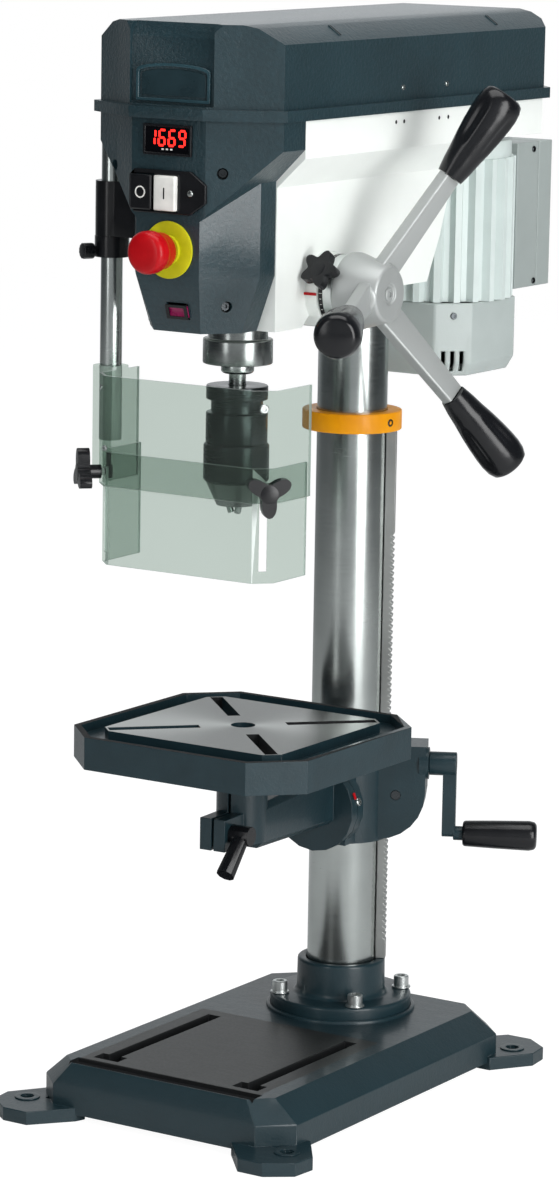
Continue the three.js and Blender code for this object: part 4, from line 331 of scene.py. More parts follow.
def look(name):
    """The material of that name, made the first time that it is asked for."""
    if name in LOOKS:
        return LOOKS[name]
    paint, steel = bpy.context.scene.press_paint, bpy.context.scene.press_metal
    peel = paint.peel_depth
    recipes = {
        "dark paint": (enamel, paint.dark, paint, 0.38, peel, 0.12, 0.22),
        "white paint": (enamel, paint.white, paint, 0.42, peel * 0.6, 0.015),
        "orange paint": (enamel, paint.orange, paint, 0.4, peel * 0.5),
        "base paint": (base_finish, paint.dark, steel.oiled, paint),
        "cover plastic": (speckled, paint.cover, paint),
        "smooth cover": (moulded, paint.cover, 0.3, 0.4, 0.4, 0.00002, 900),
        # cover painted highlight: the cover's colour made twice as light, a painted highlight for the badge
        # frame
        "pale cover": (moulded, shade(paint.cover, 2.0), 0.25, 0.6, 0.4, 0.00001, 900),
        "ground steel": (metal, steel.bright, steel, 0.2, (40, 40, 900), 0.000002),
        "turned steel": (metal, steel.bright, steel, 0.22, (30, 30, 500), 0.0000005),
        "quill steel": (metal, shade(steel.bright, 0.62), steel, 0.2, (8, 8, 600), 0.0000004),
        "black steel": (metal, steel.dark, steel, 0.22, (20, 20, 900), 0.000002),
        "rack steel": (metal, steel.rack, steel, 0.38, (1500, 1500, 60)),
        "satin aluminium": (metal, steel.aluminium, steel, 0.34, (90, 90, 90), 0.000002),
        "cast aluminium": (cast, shade(steel.aluminium, 0.62)),
        "milled iron": (milled, steel.milled, TABLE, 0.0006, 0.5),
        "black plastic": (moulded, (0.007, 0.0075, 0.009), 0.22, 0.0, 0.34, 0.000005, 3000),
        "dark glass": (moulded, (0.002, 0.002, 0.003), 0.16, 0.0, 0.15, 0.000002, 3000),
        # painted recess shade: a near-black colour put in slots, grooves, holes and notches for the shade in
        # them
        "dark recess": (moulded, (0.004, 0.005, 0.006), 0.75, 0.0, 0.4, 0.00004, 1600),
        "black rubber": (moulded, (0.02, 0.02, 0.02), 0.7, 0.0, 0.4, 0.00004, 1600),
        "white plastic": (moulded, (0.8, 0.8, 0.76), 0.35),
        "red plastic": (moulded, (0.46, 0.002, 0.006), 0.32, 0.0, 0.25, 0.00001),
        "yellow plastic": (moulded, (0.6, 0.58, 0.01), 0.5, 0.0, 0.2),
        "magenta plastic": (moulded, (0.26, 0.006, 0.075), 0.3, 0.1, 0.3, 0.00001),
        "clear plastic": (clear, (0.22, 0.26, 0.24), (0.755, 0.805, 0.775, 1), 0.05),
        # clear edge painted highlight: paler and less clear than the sheet, a painted highlight along the
        # shields' cut edges
        "clear edge": (clear, (0.84, 0.9, 0.87), (0.66, 0.72, 0.69, 1), 0.6, 0.2),
        "red glow": (glowing, (1.0, 0.018, 0.012), 2.4),
    }
    # the fins are painted lighter and the fan cover and terminal box darker: painted light and shade in
    # copies of the one grey
    for grey, share in (("grey paint", 1), ("fin paint", 1.18), ("fan paint", 0.84), ("box paint", 0.66)):
        recipes[grey] = (enamel, shade(paint.grey, share), paint, 0.4, peel * 0.6, 0.03)
    make, *values = recipes[name]
    LOOKS[name] = make(name, *values)
    return LOOKS[name]


# Outlines and profiles in millimetres
ON_AXIS = 1e-6
EASE_STEPS, EASE_SHARE, LEAST_TURN = 3, 0.45, 0.35


def polar(radius, angle):
    return radius * cos(angle), radius * sin(angle)


def disc(radius, low, high):
    """The profile of a plain disc."""
    return [(0, low), (radius, low), (radius, high), (0, high)]


def ring(inner, outer, low, high):
    """The profile of a plain ring."""
    return [(inner, low), (outer, low), (outer, high), (inner, high), (inner, low)]


def inside(point, low, high):
    """Whether a point is inside a box, given by its lowest and highest corner."""
    return all(a < b < c for a, b, c in zip(low, point, high))


def eased(profile, radius):
    """A profile whose sharp corners are rounded, as far as its neighbours allow."""
    closed = profile[0] == profile[-1]
    points = [Vector(p) for p in (profile[:-1] if closed else profile)]
    ends = () if closed else (0, len(points) - 1)
    result = []
    for i, point in enumerate(points):
        a, b = points[i - 1] - point, points[(i + 1) % len(points)] - point
        if i in ends or point.x < ON_AXIS or pi - a.angle(b, 0.0) < LEAST_TURN:
            result.append(point)
            continue
        cut = min(radius, a.length * EASE_SHARE, b.length * EASE_SHARE)
        start, end = point + a.normalized() * cut, point + b.normalized() * cut
        for k in range(EASE_STEPS + 1):
            t = k / EASE_STEPS
            result.append(start * (1 - t) ** 2 + point * (2 * t * (1 - t)) + end * t ** 2)
    return result + result[:1] if closed else result


def star(lobes, waist, radius, steps=12, sharpness=1.0):
    """The outline of a star knob."""
    outline = []
    for i in range(lobes * steps):
        angle = tau * i / (lobes * steps)
        swell = ((1 + cos(lobes * angle)) / 2) ** sharpness
        outline.append(polar(waist + (radius - waist) * swell, angle))
    return outline


def rounded_box(half_x, half_y, corner, steps=5):
    """The outline of a rectangle with round corners."""
    outline = []
    for sx, sy, start in ((1, 1, 0), (-1, 1, 90), (-1, -1, 180), (1, -1, 270)):
        for k in range(steps + 1):
            x, y = polar(corner, radians(start + 90 * k / steps))
            outline.append((sx * (half_x - corner) + x, sy * (half_y - corner) + y))
    return outline


class Shape:
    """Points and faces in millimetres, added to bit by bit and then made into one piece."""

    SCREW_SIDES, SCREW_BEVEL = 40, 0.8

    def __init__(self):
        self.points, self.faces, self.looks = [], [], []

    def add(self, points, faces, place, look_index):
        start = len(self.points)
        place = place or Matrix.Identity(4)
        self.points += [place @ Vector(p) for p in points]
        self.faces += [[start + i for i in face] for face in faces]
        self.looks += [look_index] * len(faces)
        return self

    def lathe(self, profile, place=None, ease=1.0, sides=72, look_index=0, swell=None):
        """A radius and height profile turned about z."""
        rings, points = [], []
        for r, z in eased(profile, ease) if ease else map(Vector, profile):
            if r < ON_AXIS:
                rings.append([len(points)] * sides)
                points.append((0, 0, z))
                continue
            rings.append([len(points) + i for i in range(sides)])
            for i in range(sides):
                angle = tau * i / sides
                points.append((*polar(r * (swell(angle, z) if swell else 1), angle), z))
        faces = []
        for low, high in zip(rings, rings[1:]):
            for i in range(sides):
                j = (i + 1) % sides
                face = list(dict.fromkeys([low[i], low[j], high[j], high[i]]))
                if len(face) > 2:
                    faces.append(face)
        return self.add(points, faces, place, look_index)

    def skin(self, levels, place, look_index=0, closed=False):
        """Outlines with as many points each, joined one to the next. The ends are capped, or joined too."""
        count = len(levels[0][0])
        points = [(x, y, z) for outline, z in levels for x, y in outline]
        faces = []
        for level in range(len(levels) if closed else len(levels) - 1):
            low, high = level * count, (level + 1) % len(levels) * count
            faces += [[low + i, low + (i + 1) % count, high + (i + 1) % count, high + i]
                      for i in range(count)]
        if not closed:
            faces += [list(range(count))[::-1], list(range(len(points) - count, len(points)))]
        return self.add(points, faces, place, look_index)

    def prism(self, outline, low, high, place=None, look_index=0, top=None):
        """An outline in x and y drawn up from one height to another, where it may become another one."""
        return self.skin([(outline, low), (top or outline, high)], place, look_index)

    def rim(self, outer, inner, low, high, place):
        """A frame between two outlines with as many points each."""
        return self.skin([(outer, low), (outer, high), (inner, high), (inner, low)], place, closed=True)

    def socket_screw(self, place, radius, height, socket, depth):
        """A round screw head with a hexagon socket, standing on the place along its z."""
        turns = [tau * i / self.SCREW_SIDES for i in range(self.SCREW_SIDES)]
        edge = [polar(radius, turn) for turn in turns]
        hexagon = []
        for turn in turns:
            share = cos(pi / 6) / cos(turn % (pi / 3) - pi / 6)
            hexagon.append(tuple(part * share for part in polar(socket, turn)))
        bevel = min(self.SCREW_BEVEL, height / 4)
        face = [(x * (radius - bevel) / radius, y * (radius - bevel) / radius) for x, y in edge]
        return self.skin([(edge, 0), (edge, height - bevel), (face, height), (hexagon, height),
                          (hexagon, height - depth)], place)

    def piece(self, name, looks, slot=None, body=None, node=None, soften=0.0):
        """Makes the piece. Without a body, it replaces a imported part, as a rule the one of its name."""
        mesh = new_mesh(name, self.points, self.faces, looks)
        for face, index in zip(mesh.polygons, self.looks):
            face.material_index = index
        with edited(mesh) as bm:
            bmesh.ops.recalc_face_normals(bm, faces=bm.faces)
        node = None if body else node or name.replace(" ", "_")
        settle(name.replace(" ", "-"), mesh, node, body, soften)


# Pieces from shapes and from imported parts
SHARP_ANGLE, SOFT_ANGLE, FLAT_ANGLE = 38, 24, 0.8
FULL_WIDTH_LENGTH, LEAST_WEIGHT = 3.2, 0.05
SAME_POINT = 0.00002


def new_mesh(name, points, faces, looks):
    """A mesh with its materials, from points in millimetres."""
    mesh = bpy.data.meshes.new(name)
    mesh.from_pydata([p * MM for p in points], [], faces)
    for each in looks:
        mesh.materials.append(look(each))
    return mesh


@contextmanager
def edited(mesh):
    """The mesh opened for editing, and written back afterwards."""
    bm = bmesh.new()
    bm.from_mesh(mesh)
    yield bm
    bm.to_mesh(mesh)
    bm.free()


def linked(name, data):
    """An object in the scene."""
    obj = bpy.data.objects.new(name, data)
    bpy.context.collection.objects.link(obj)
    return obj


def settle(name, mesh, node, body=None, soften=0.0, sharp=SHARP_ANGLE):
    """Smooths a piece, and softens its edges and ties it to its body."""
    obj = linked(name, mesh)
    mesh.shade_smooth()
    if soften:
        weigh_edges(mesh, soften * MM)
        bevel = obj.modifiers.new("soft edges", "BEVEL")
        bevel.width = soften * MM
        bevel.segments = 3
        bevel.limit_method = "WEIGHT"
        bevel.use_clamp_overlap = True
        bevel.harden_normals = False
    mesh.set_sharp_from_angle(angle=radians(sharp))
    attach(obj, body or BODY_OF[node])
    if node:
        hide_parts(node)


def weigh_edges(mesh, width):
    """Long sharp edges get the whole width of softening, short ones less."""
    with edited(mesh) as bm:
        layer = bm.edges.layers.float.new("bevel_weight_edge")
        for edge in bm.edges:
            if len(edge.link_faces) == 2 and edge.calc_face_angle(0.0) > radians(SOFT_ANGLE):
                weight = edge.calc_length() / (width * FULL_WIDTH_LENGTH)
                edge[layer] = min(1.0, max(LEAST_WEIGHT, weight))


def dressed(node, looks, soften=1.0, sharp=SHARP_ANGLE, choose=None):
    """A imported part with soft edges; choose picks each face's look from its middle, normal and width."""
    source = frame["nodes"][node].data
    points, faces = [v.co / MM for v in source.vertices], [list(p.vertices) for p in source.polygons]
    mesh = new_mesh(node, points, faces, looks)
    with edited(mesh) as bm:
        bmesh.ops.remove_doubles(bm, verts=bm.verts, dist=SAME_POINT)
        bmesh.ops.dissolve_limit(bm, angle_limit=radians(FLAT_ANGLE), verts=bm.verts, edges=bm.edges)
        bmesh.ops.recalc_face_normals(bm, faces=bm.faces)
        for face in bm.faces if choose else ():
            width = 2 * face.calc_area() / face.calc_perimeter() / MM
            face.material_index = choose(face.calc_center_median() / MM, face.normal, width)
    settle(node.replace("_", "-"), mesh, node, None, soften, sharp)


def turned(name, looks, profile, place=None, ease=1.0, sides=72, swell=None, **kind):
    """A piece with one profile, turned about z."""
    Shape().lathe(profile, place, ease, sides, 0, swell).piece(name, looks, **kind)


def screw(name, body, place, radius, height, socket, depth, bright=True):
    """A socket screw of its own, bright or black."""
    looks, slot = (["turned steel"], "bright_steel") if bright else (["black steel"], "dark_steel")
    Shape().socket_screw(place, radius, height, socket, depth).piece(name, looks, slot, body)


# Settings that the panel shows
def colour_setting(name, description, default):
    return FloatVectorProperty(name=name, description=description, subtype="COLOR", default=default,
                               min=0, max=1)


def edge_setting(name, owner, default, highest):
    return FloatProperty(name=name, description="Roundness of %s edges in millimetres" % owner,
                         default=default, min=0.1, max=highest)


def power_setting(name, place, default):
    return FloatProperty(name=name, description="Power of the light " + place, unit="POWER",
                         default=default, min=0)


class PaintSettings(bpy.types.PropertyGroup):
    dark: colour_setting("Dark enamel", "Colour of the castings", (0.011, 0.029, 0.037))
    cover: colour_setting("Cover plastic", "Colour of the front cover and the lid", (0.012, 0.031, 0.039))
    white: colour_setting("White enamel", "Colour of the head", (0.84, 0.87, 0.84))
    grey: colour_setting("Grey enamel", "Colour of the motor", (0.50, 0.56, 0.545))
    orange: colour_setting("Orange enamel", "Colour of the ring over the rack", (1.0, 0.36, 0.0))
    peel_depth: FloatProperty(name="Peel depth", description="Height of the texture in the paint",
                              subtype="DISTANCE", unit="LENGTH", default=0.00025, min=0, max=0.001)
    peel_scale: FloatProperty(name="Peel scale", description="Number of bumps in the paint per metre",
                              default=420, min=10, max=5000)


class MetalSettings(bpy.types.PropertyGroup):
    bright: colour_setting("Bright steel", "Colour of ground and turned steel", (0.43, 0.46, 0.45))
    dark: colour_setting("Black steel", "Colour of blackened steel", (0.06, 0.066, 0.07))
    rack: colour_setting("Rack steel", "Colour of the rack", (0.36, 0.37, 0.36))
    aluminium: colour_setting("Aluminium", "Colour of the cast hub and pulleys", (0.66, 0.69, 0.68))
    milled: colour_setting("Milled iron", "Colour of the table's face", (0.27, 0.28, 0.27))
    oiled: colour_setting("Oiled iron", "Colour of the machined top of the base", (0.035, 0.037, 0.036))
    line_contrast: FloatProperty(name="Line contrast", description="How much the tool lines change the shine",
                                 default=0.14, min=0, max=0.5)


class DetailSettings(bpy.types.PropertyGroup):
    casting_edge: edge_setting("Casting edge", "the castings'", 4.0, 10)
    base_edge: edge_setting("Base edge", "the base's", 11.0, 14)
    cover_edge: edge_setting("Cover edge", "the covers'", 4.0, 10)
    sheet_edge: edge_setting("Sheet edge", "the shields'", 0.8, 3)
    sides: IntProperty(name="Sides", description="Number of sides of the column's flange", default=72, min=16,
                       max=256)


class StageSettings(bpy.types.PropertyGroup):
    key_power: power_setting("Key light", "in front", 22)
    fill_power: power_setting("Fill light", "on the right", 108)
    top_power: power_setting("Top light", "overhead", 50)
    sky: FloatProperty(name="Sky", description="Strength of the soft light from before and behind",
                       default=0.62, min=0)


class PressOperator(bpy.types.Operator):
    """Common ground of the operators"""
    bl_options = {"REGISTER", "UNDO"}

    def execute(self, context):
        self.build(context.scene.press_detail)
        return {"FINISHED"}


class BuildBase(PressOperator):
    """Builds the base with rings round its foot holes, and the column's flange with its screws and pad"""
    bl_idname = "press.base"
    bl_label = "Base"

    SCREWS = ((-47, -47), (47, -47), (47, 47), (-47, 47))
    FOOT_HOLES = ((-158, -350), (158, -350), (158, 96), (-158, 96))
    SLOT = ((69, -316, 38), (101, -114, 99))
    GROOVE = ((-1, -344, 38), (113, -324, 57))

    def build(self, detail):
        dressed("base_casting", ["base paint", "dark recess"], detail.base_edge,
                choose=self.recess)
        rim, top, neck, head = 75, 74.3, 112.3, 76.6
        turned("column flange", ["dark paint"],
               [(COLUMN_BORE, BASE_TOP), (rim - 2, BASE_TOP), (rim, 60), (rim, top), (50, top), (47, 78),
                (46.5, neck), (COLUMN_BORE, neck), (COLUMN_BORE, BASE_TOP)], ease=3, sides=detail.sides)
        for i, (x, y) in enumerate(self.SCREWS, 1):
            bolt = Shape().lathe([(0, 48.6), (5, 48.6), (5, 74.6), (10, 74.6), (10, 76.4), (8, head),
                                  (0, head)], move(x, y, 0), 0.5, 40)
            bolt.socket_screw(move(x, y, head), 8, 11, 4.8, 6)
            bolt.piece("flange screw %d" % i, ["satin aluminium"], "bright_steel", node="flange_bolt_%d" % i)
        inner, low, high = 75.2, 57.5, 61.6
        turned("flange pad", ["dark paint"],
               [(inner, low), (79.5, low), (79, high - 1), (77.5, high), (inner, high), (inner, low)],
               ease=0.5, sides=detail.sides, body="stand")
        for i, (x, y) in enumerate(self.FOOT_HOLES, 1):
            turned("foot ring %d" % i, ["dark paint"], ring(7, 13, 14, 15.2), move(x, y, 0), 0.5, 40,
                   body="stand")

    def recess(self, middle, normal, width):
        """Painted recess shade in the two slots and in the groove across the front, enamel elsewhere."""
        spot = (abs(middle.x), middle.y, middle.z)
        return int(inside(spot, *self.GROOVE) or normal.z < 0.5 and inside(spot, *self.SLOT))


class BuildColumn(PressOperator):
    """Builds the column, its rack and the ring that holds the rack"""
    bl_idname = "press.column"
    bl_label = "Column"

    def build(self, detail):
        turned("column tube", ["ground steel"], ring(31.5, COLUMN_RADIUS, BASE_TOP, 935), sides=96,
               slot="bright_steel")
        dressed("table_rack", ["rack steel"], 0.4, sharp=30)
        low, high, outer = 681.3, 701.6, 52
        turned("rack ring", ["orange paint"], ring(COLUMN_BORE, outer, low, high), ease=1.4, sides=96)
        way = Vector((*polar(1, radians(-8)), 0))
        screw("ring screw", "stand", along(way, way * (outer - 1.8) + Z * 691.5), 4.2, 2.2, 2.3, 1.8, False)


class BuildTable(PressOperator):
    """Builds the bracket, the tilting arm, the table, the crank and the two clamp levers"""
    bl_idname = "press.table"
    bl_label = "Table"

    HANDLE = CRANK @ move(0, -74.5, 0)
    TILT_WAY = (0.94, 0.05, 0.34)
    MILLED_FROM, DARK_FROM, HOLE = 402.6, 370, 14
    SLOT_HALF, SLOT_START, SLOT_END = 8, 40, 138

    def build(self, detail):
        dressed("table_top", ["dark paint", "milled iron", "dark recess"], soften=2.0, choose=self.table_look)
        for node in ("table_bracket", "table_arm"):
            dressed(node, ["dark paint"], soften=detail.casting_edge)
        dressed("rack_pinion", ["black steel"], 0.3)
        shaft, hub, face, pin = 8, 12.4, 119, 7.5
        crank = Shape().lathe([(0, 57), (hub, 57), (hub, 80), (shaft, 80), (shaft, 90.3), (12.5, 90.3),
                               (12.5, face), (0, face)], CRANK, 1.2, 48)
        crank.prism(rounded_box(7.5, 41, 6), 105, face, CRANK @ move(0, -37.3, 0))
        crank.lathe([(0, 117), (pin, 117), (pin, 127), (5, 127), (5, 188), (0, 188)], self.HANDLE, 0.8, 32)
        crank.piece("crank arm", ["dark paint"], soften=1.4)
        turned("crank grip", ["black plastic"],
               [(5.4, 127), (12, 127), (13.6, 129), (14.8, 160), (15.8, 197), (14.5, 203), (11, 205),
                (0, 205), (0, 190), (5.4, 190), (5.4, 127)], self.HANDLE, 2.5, 48)
        for node in ("table_clamp_lever", "column_clamp_lever"):
            dressed(node, ["black plastic"], sharp=42)
        screw("tilt screw", "bracket", along(self.TILT_WAY, (48.6, -52.3, 296.9)), 4.4, 2.6, 2.4, 1.8)
        pointer = Shape().prism(rounded_box(3.5, 1.8, 0.4, 2), 0, 0.8,
                                along(self.TILT_WAY, (48.2, -58.5, 304)))
        pointer.piece("tilt pointer", ["red plastic"], body="bracket")

    def table_look(self, middle, normal, width):
        """Milled on top, painted recess shade in the middle hole and in the slots towards the corners, enamel
        elsewhere.
        """
        if normal.z > 0.9 and middle.z > self.MILLED_FROM:
            return 1
        spot = SWING.inverted() @ Vector((middle.x - TABLE.x, middle.y - TABLE.y, 0))
        out, off = (abs(spot.x) + abs(spot.y)) * sqrt(0.5), abs(abs(spot.x) - abs(spot.y)) * sqrt(0.5)
        slot = off < self.SLOT_HALF and self.SLOT_START < out < self.SLOT_END
        return 2 if (spot.length < self.HOLE or slot) and middle.z > self.DARK_FROM else 0


class BuildHead(PressOperator):
    """Builds the head casting, the front cover and the lid over the belts"""
    bl_idname = "press.head"
    bl_label = "Head"

    SIDE = 107
    LID_SLOPE = Vector((0.56, 0, 0.83)).normalized()
    COVER_SCREWS = (((-78, -324.2, 970), (-0.477, -0.88, 0)), ((57, -337.1, 970), (0.535, -0.845, 0)),
                    ((49, -314.2, 839), (0.8, -0.61, 0)))
    WELL_DEPTH = 8.6

    def build(self, detail):
        dressed("head_casting", ["white paint"], soften=detail.casting_edge, sharp=34)
        for node in ("front_cover", "belt_cover"):
            dressed(node, ["cover plastic"], soften=detail.cover_edge, sharp=34)
        self.badge()
        self.side_marks()
        for i, (spot, way) in enumerate(self.COVER_SCREWS, 1):
            way = Vector(way).normalized()
            place = along(way, Vector(spot) - way * self.WELL_DEPTH)
            screw("cover screw %d" % i, "stand", place, 4.8, 3.6, 2.3, 2.2, False)

    @staticmethod
    def badge():
        """The raised frame of the name plate, coloured paler than the cover as a painted highlight; the plate
        stays bare.
        """
        def arched(inset, shoulder):
            half, low, crown = 43 - inset, 1036 + inset, 1073 - inset
            arch = [(half * cos(pi * k / 12), shoulder + (crown - shoulder) * sin(pi * k / 12))
                    for k in range(13)]
            return [(-half, low), (half, low)] + arch
        badge = Shape().rim(arched(0, 1066), arched(3, 1063.5), 0, 2.4, LID_FRONT)
        badge.prism(arched(5.5, 1061.5), 0, 0.9, LID_FRONT, 1)
        badge.piece("badge frame", ["pale cover", "smooth cover"], "cover_plastic", "lid", soften=0.6)

    def side_marks(self):
        """Small screws in the lid's side, dark discs of painted shade for the holes in the head below them,
        and two dark strips of painted shade for notches above.
        """
        for i, y in enumerate((-88.9, -3.8), 1):
            screw("lid screw %d" % i, "lid", along(X, (self.SIDE, y, 1043.8)), 2.8, 1.4, 1.4, 1)
        for i, y in enumerate((-101, -85.6, -17.1, 0.8), 1):
            # each hole is a flat disc of painted recess shade, ringed with white paint
            place = along(X, (self.SIDE, y, 1010))
            hole = Shape().lathe(disc(2.1, 0, 0.15), place, 0, 24)
            hole.lathe(ring(2.1, 3, 0, 0.4), place, 0, 24, look_index=1)
            hole.piece("head hole %d" % i, ["dark recess", "white paint"], "white_paint", "stand")
        for i, y in enumerate((-196, 109), 1):
            place = axes(Y, self.LID_SLOPE.cross(Y), self.LID_SLOPE, (93, y, 1103.5))
            # each notch is a thin strip of painted recess shade on the chamfer, beside a narrow lip of the
            # cover's colour
            notch = Shape().prism(rounded_box(1.6, 8, 0.8, 2), 0, 0.3, place)
            notch.prism(rounded_box(0.7, 8, 0.4, 2), 0, 0.7, place @ move(-2.6, 0, 0), 1)
            notch.piece("lid notch %d" % i, ["dark recess", "smooth cover"], "cover_plastic", "lid")


class BuildQuill(PressOperator):
    """Builds the quill, its bearing and the spindle"""
    bl_idname = "press.quill"
    bl_label = "Quill"

    def build(self, detail):
        bore, mouth, low, seat, top = 12.4, 20.2, 771, 787.3, 945
        turned("quill sleeve", ["quill steel"],
               [(mouth, low), (35, low), (35, 796), (30, 796), (30, top), (bore, top), (bore, seat),
                (mouth, seat), (mouth, low)], SPINDLE, 1.4, 96, slot="bright_steel")
        turned("spindle bearing", ["black steel"], ring(bore, 20, 773, 787), SPINDLE, 0.6, 64,
               slot="dark_steel")
        turned("spindle", ["turned steel"],
               [(0, 729), (8.5, 729), (8.5, 761), (14.5, 761), (16.5, 763), (16.5, 770.7), (12, 770.7),
                (12, 945.3), (9, 945.3), (9, 1058), (0, 1058)], SPINDLE, 0.8, 64, slot="bright_steel")


class BuildChuck(PressOperator):
    """Builds the keyless chuck: its body, gripping sleeve and jaws"""
    bl_idname = "press.chuck"
    bl_label = "Chuck"

    MOUTH, JAW_LEAN = Vector((0, -219, 620)), radians(16)

    def build(self, detail):
        wide, core, bore, low, top = 31, 25.7, 26.3, 652, 691
        body = Shape().lathe([(0, 674), (6, 674), (6, 628), (19, 628), (30, 651.7), (core, 651.7),
                              (core, 691.3), (wide, 691.3), (wide, 722), (26, 722), (26, 735), (wide, 735),
                              (wide, 749), (8.9, 749), (8.9, 728.7), (0, 728.7)], SPINDLE, 1.2)
        body.lathe([(18.6, 628.4), (19.3, 628), (30.3, 651.6), (29.5, 651.6), (18.6, 628.4)], SPINDLE, 0,
                   look_index=1)
        body.piece("chuck body", ["black steel", "quill steel"], "dark_steel")
        turned("chuck sleeve", ["black steel"],
               [(bore, low), (wide, low), (wide + 2, low + 2), (wide + 2, top - 2), (wide, top), (bore, top),
                (bore, low)], SPINDLE, 1.0, 144, slot="dark_steel",
               swell=lambda angle, z: 1 - 0.012 * (0.5 - 0.5 * cos(36 * angle)) * (low + 3 < z < top - 3))
        for i in range(3):
            out = Vector((*polar(1, pi / 2 + i * 2 * pi / 3), 0))
            place = along(out * sin(self.JAW_LEAN) + Z * cos(self.JAW_LEAN), self.MOUTH + out * 4.3)
            turned("chuck jaw %d" % (i + 1), ["turned steel"], disc(3.3, 0, 40), place, 0.5, 24,
                   slot="bright_steel")


class BuildFeed(PressOperator):
    """Builds the feed hub with its three levers and grips, the depth stop and the return spring"""
    bl_idname = "press.feed"
    bl_label = "Feed"

    LEVER_RISE, LEVER_PHASE = radians(24.1), radians(64.4)
    RING_FACE = 88.3
    GRIP = [(6.4, 139.3), (13.4, 139.3), (14, 142), (15.8, 152), (17.4, 165), (19.8, 180), (21.6, 195),
            (22.8, 210), (23, 219), (22, 228), (19.6, 234), (16, 236.4), (0, 236.8), (0, 172), (6.4, 172),
            (6.4, 139.3)]

    def build(self, detail):
        self.hub()
        self.depth_stop()
        turned("spring housing", ["grey paint"],
               [(0, 0), (35, 0), (37, 2), (37, 25), (34, 25), (34, 3), (0, 3)],
               ACROSS @ move(0, 0, -106.8), 2)
        dressed("return_spring", ["turned steel"], 0.0, sharp=50)

    def hub(self):
        """The hub and its levers in one casting, with a grip on each lever."""
        shaft, pinion, face, wide = 9, 11.4, self.RING_FACE, 39
        hub = Shape().lathe([(0, -94), (shaft, -94), (shaft, -14), (pinion, -14), (pinion, 14), (shaft, 14),
                             (shaft, face), (14, face), (14, 104.6), (37, 104.6), (wide, 107), (wide, 114),
                             (28, 149), (26, 151), (10.5, 151), (9.6, 148.4), (0, 148.4)], ACROSS, 2.2)
        hub.socket_screw(ACROSS @ move(0, 0, 148.2), 6.6, 2.4, 3.2, 2.0)
        for i in range(3):
            angle = self.LEVER_PHASE + i * 2 * pi / 3
            way = Vector((sin(self.LEVER_RISE), *polar(cos(self.LEVER_RISE), angle)))
            flat = (X - way * X.dot(way)).normalized()
            place = axes(flat, way.cross(flat), way, (126, *FEED[1:]))
            hub.lathe([(0, 0), (15, 0), (15, 28), (12, 36), (0, 36)], place, 4, 48)
            hub.prism(rounded_box(6, 16.5, 2), 0, 138.6, place, top=rounded_box(6, 12, 2))
            self.grip(i + 1, place)
        hub.piece("feed hub", ["cast aluminium"])

    def depth_stop(self):
        """The ring with its scale, the pointer beside it and the knob that locks it."""
        turned("depth ring", ["satin aluminium"], ring(14.6, 36, self.RING_FACE, 104.3), ACROSS, 1.6, 96,
               slot="cast_aluminium", swell=lambda angle, z: 1 - 0.006 * (cos(60 * angle) > 0.6) * (z > 97))
        surface = 36.15
        scale = Shape().lathe(ring(35.9, surface, 89.6, 94.4), ACROSS, 0, 96)
        for k in range(40):
            tick = ACROSS @ Matrix.Rotation(k * pi / 20, 4, "Z") @ axes(Z, Y, X, (surface, 0, 92))
            scale.prism(rounded_box(1.9 if k % 5 == 0 else 1.1, 0.25, 0.1, 1), 0, 0.1, tick, 1)
        scale.piece("depth scale", ["black plastic", "white plastic"], body="depth_stop")
        pointer = Shape().prism(rounded_box(7, 1.4, 0.5, 2), 0, 1.2, axes(X, Z, -Y, (82, -215.2, 846)))
        pointer.piece("depth pointer", ["red plastic"], body="stand")
        place = along((0, *polar(1, radians(151))), (96.3, *FEED[1:]))
        knob = Shape().lathe([(0, 26), (3.9, 26), (3.9, 44), (8, 44), (8, 55), (0, 55)], place, 0.6, 32)
        knob.prism(star(5, 12, 20), 44, 54.6, place)
        knob.piece("depth knob", ["black plastic"], soften=2.0)

    def grip(self, number, place):
        """A grip with four oval hollows, and close rings along its outside to follow them."""
        start, end = 172, 222

        def hollows(angle, z):
            depth = sin(pi * (z - start) / (end - start)) if start < z < end else 0.0
            return 1 - 0.13 * max(0.0, depth) ** 0.5 * max(0.0, cos(4 * angle)) ** 2
        rows = []
        for (r0, z0), (r1, z1) in zip(self.GRIP, self.GRIP[1:]):
            steps = max(1, int(abs(z1 - z0) / 3)) if r0 > 7 and r1 > 7 else 1
            rows += [(r0 + (r1 - r0) * k / steps, z0 + (z1 - z0) * k / steps) for k in range(steps)]
        turned("feed grip %d" % number, ["black plastic"], rows + self.GRIP[-1:], place, 0, 64, swell=hollows)


class BuildDrive(PressOperator):
    """Builds the pulleys, the two belts and the idler's arm"""
    bl_idname = "press.drive"
    bl_label = "Drive"

    def build(self, detail):
        for node in ("spindle_pulley", "idler_pulley", "motor_pulley"):
            dressed(node, ["satin aluminium"], 0.6, sharp=30)
        dressed("idler_arm", ["black steel"])
        for node in ("motor_belt", "spindle_belt"):
            dressed(node, ["black rubber"], 0.5, sharp=40)


class BuildMotor(PressOperator):
    """Builds the finned motor, its fan cover and the terminal box"""
    bl_idname = "press.motor"
    bl_label = "Motor"

    SCREWS = (((49.6, 281, 958), X), ((49.6, 287, 815), X), ((59.6, 102.6, 793.5), (X - Y).normalized()))

    def build(self, detail):
        # the fins take the lighter grey and the fan cover and box the darker greys, as painted light and
        # shade
        for node, paint, soften in (("motor_body", "fin paint", 1.0), ("motor_fan_cover", "fan paint", 3.0),
                                    ("terminal_box", "box paint", 3.0)):
            dressed(node, [paint], soften, sharp=30)
        for i, (spot, way) in enumerate(self.SCREWS, 1):
            screw("motor screw %d" % i, "stand", along(way, spot), 3.4, 1.8, 1.8, 1.4, False)


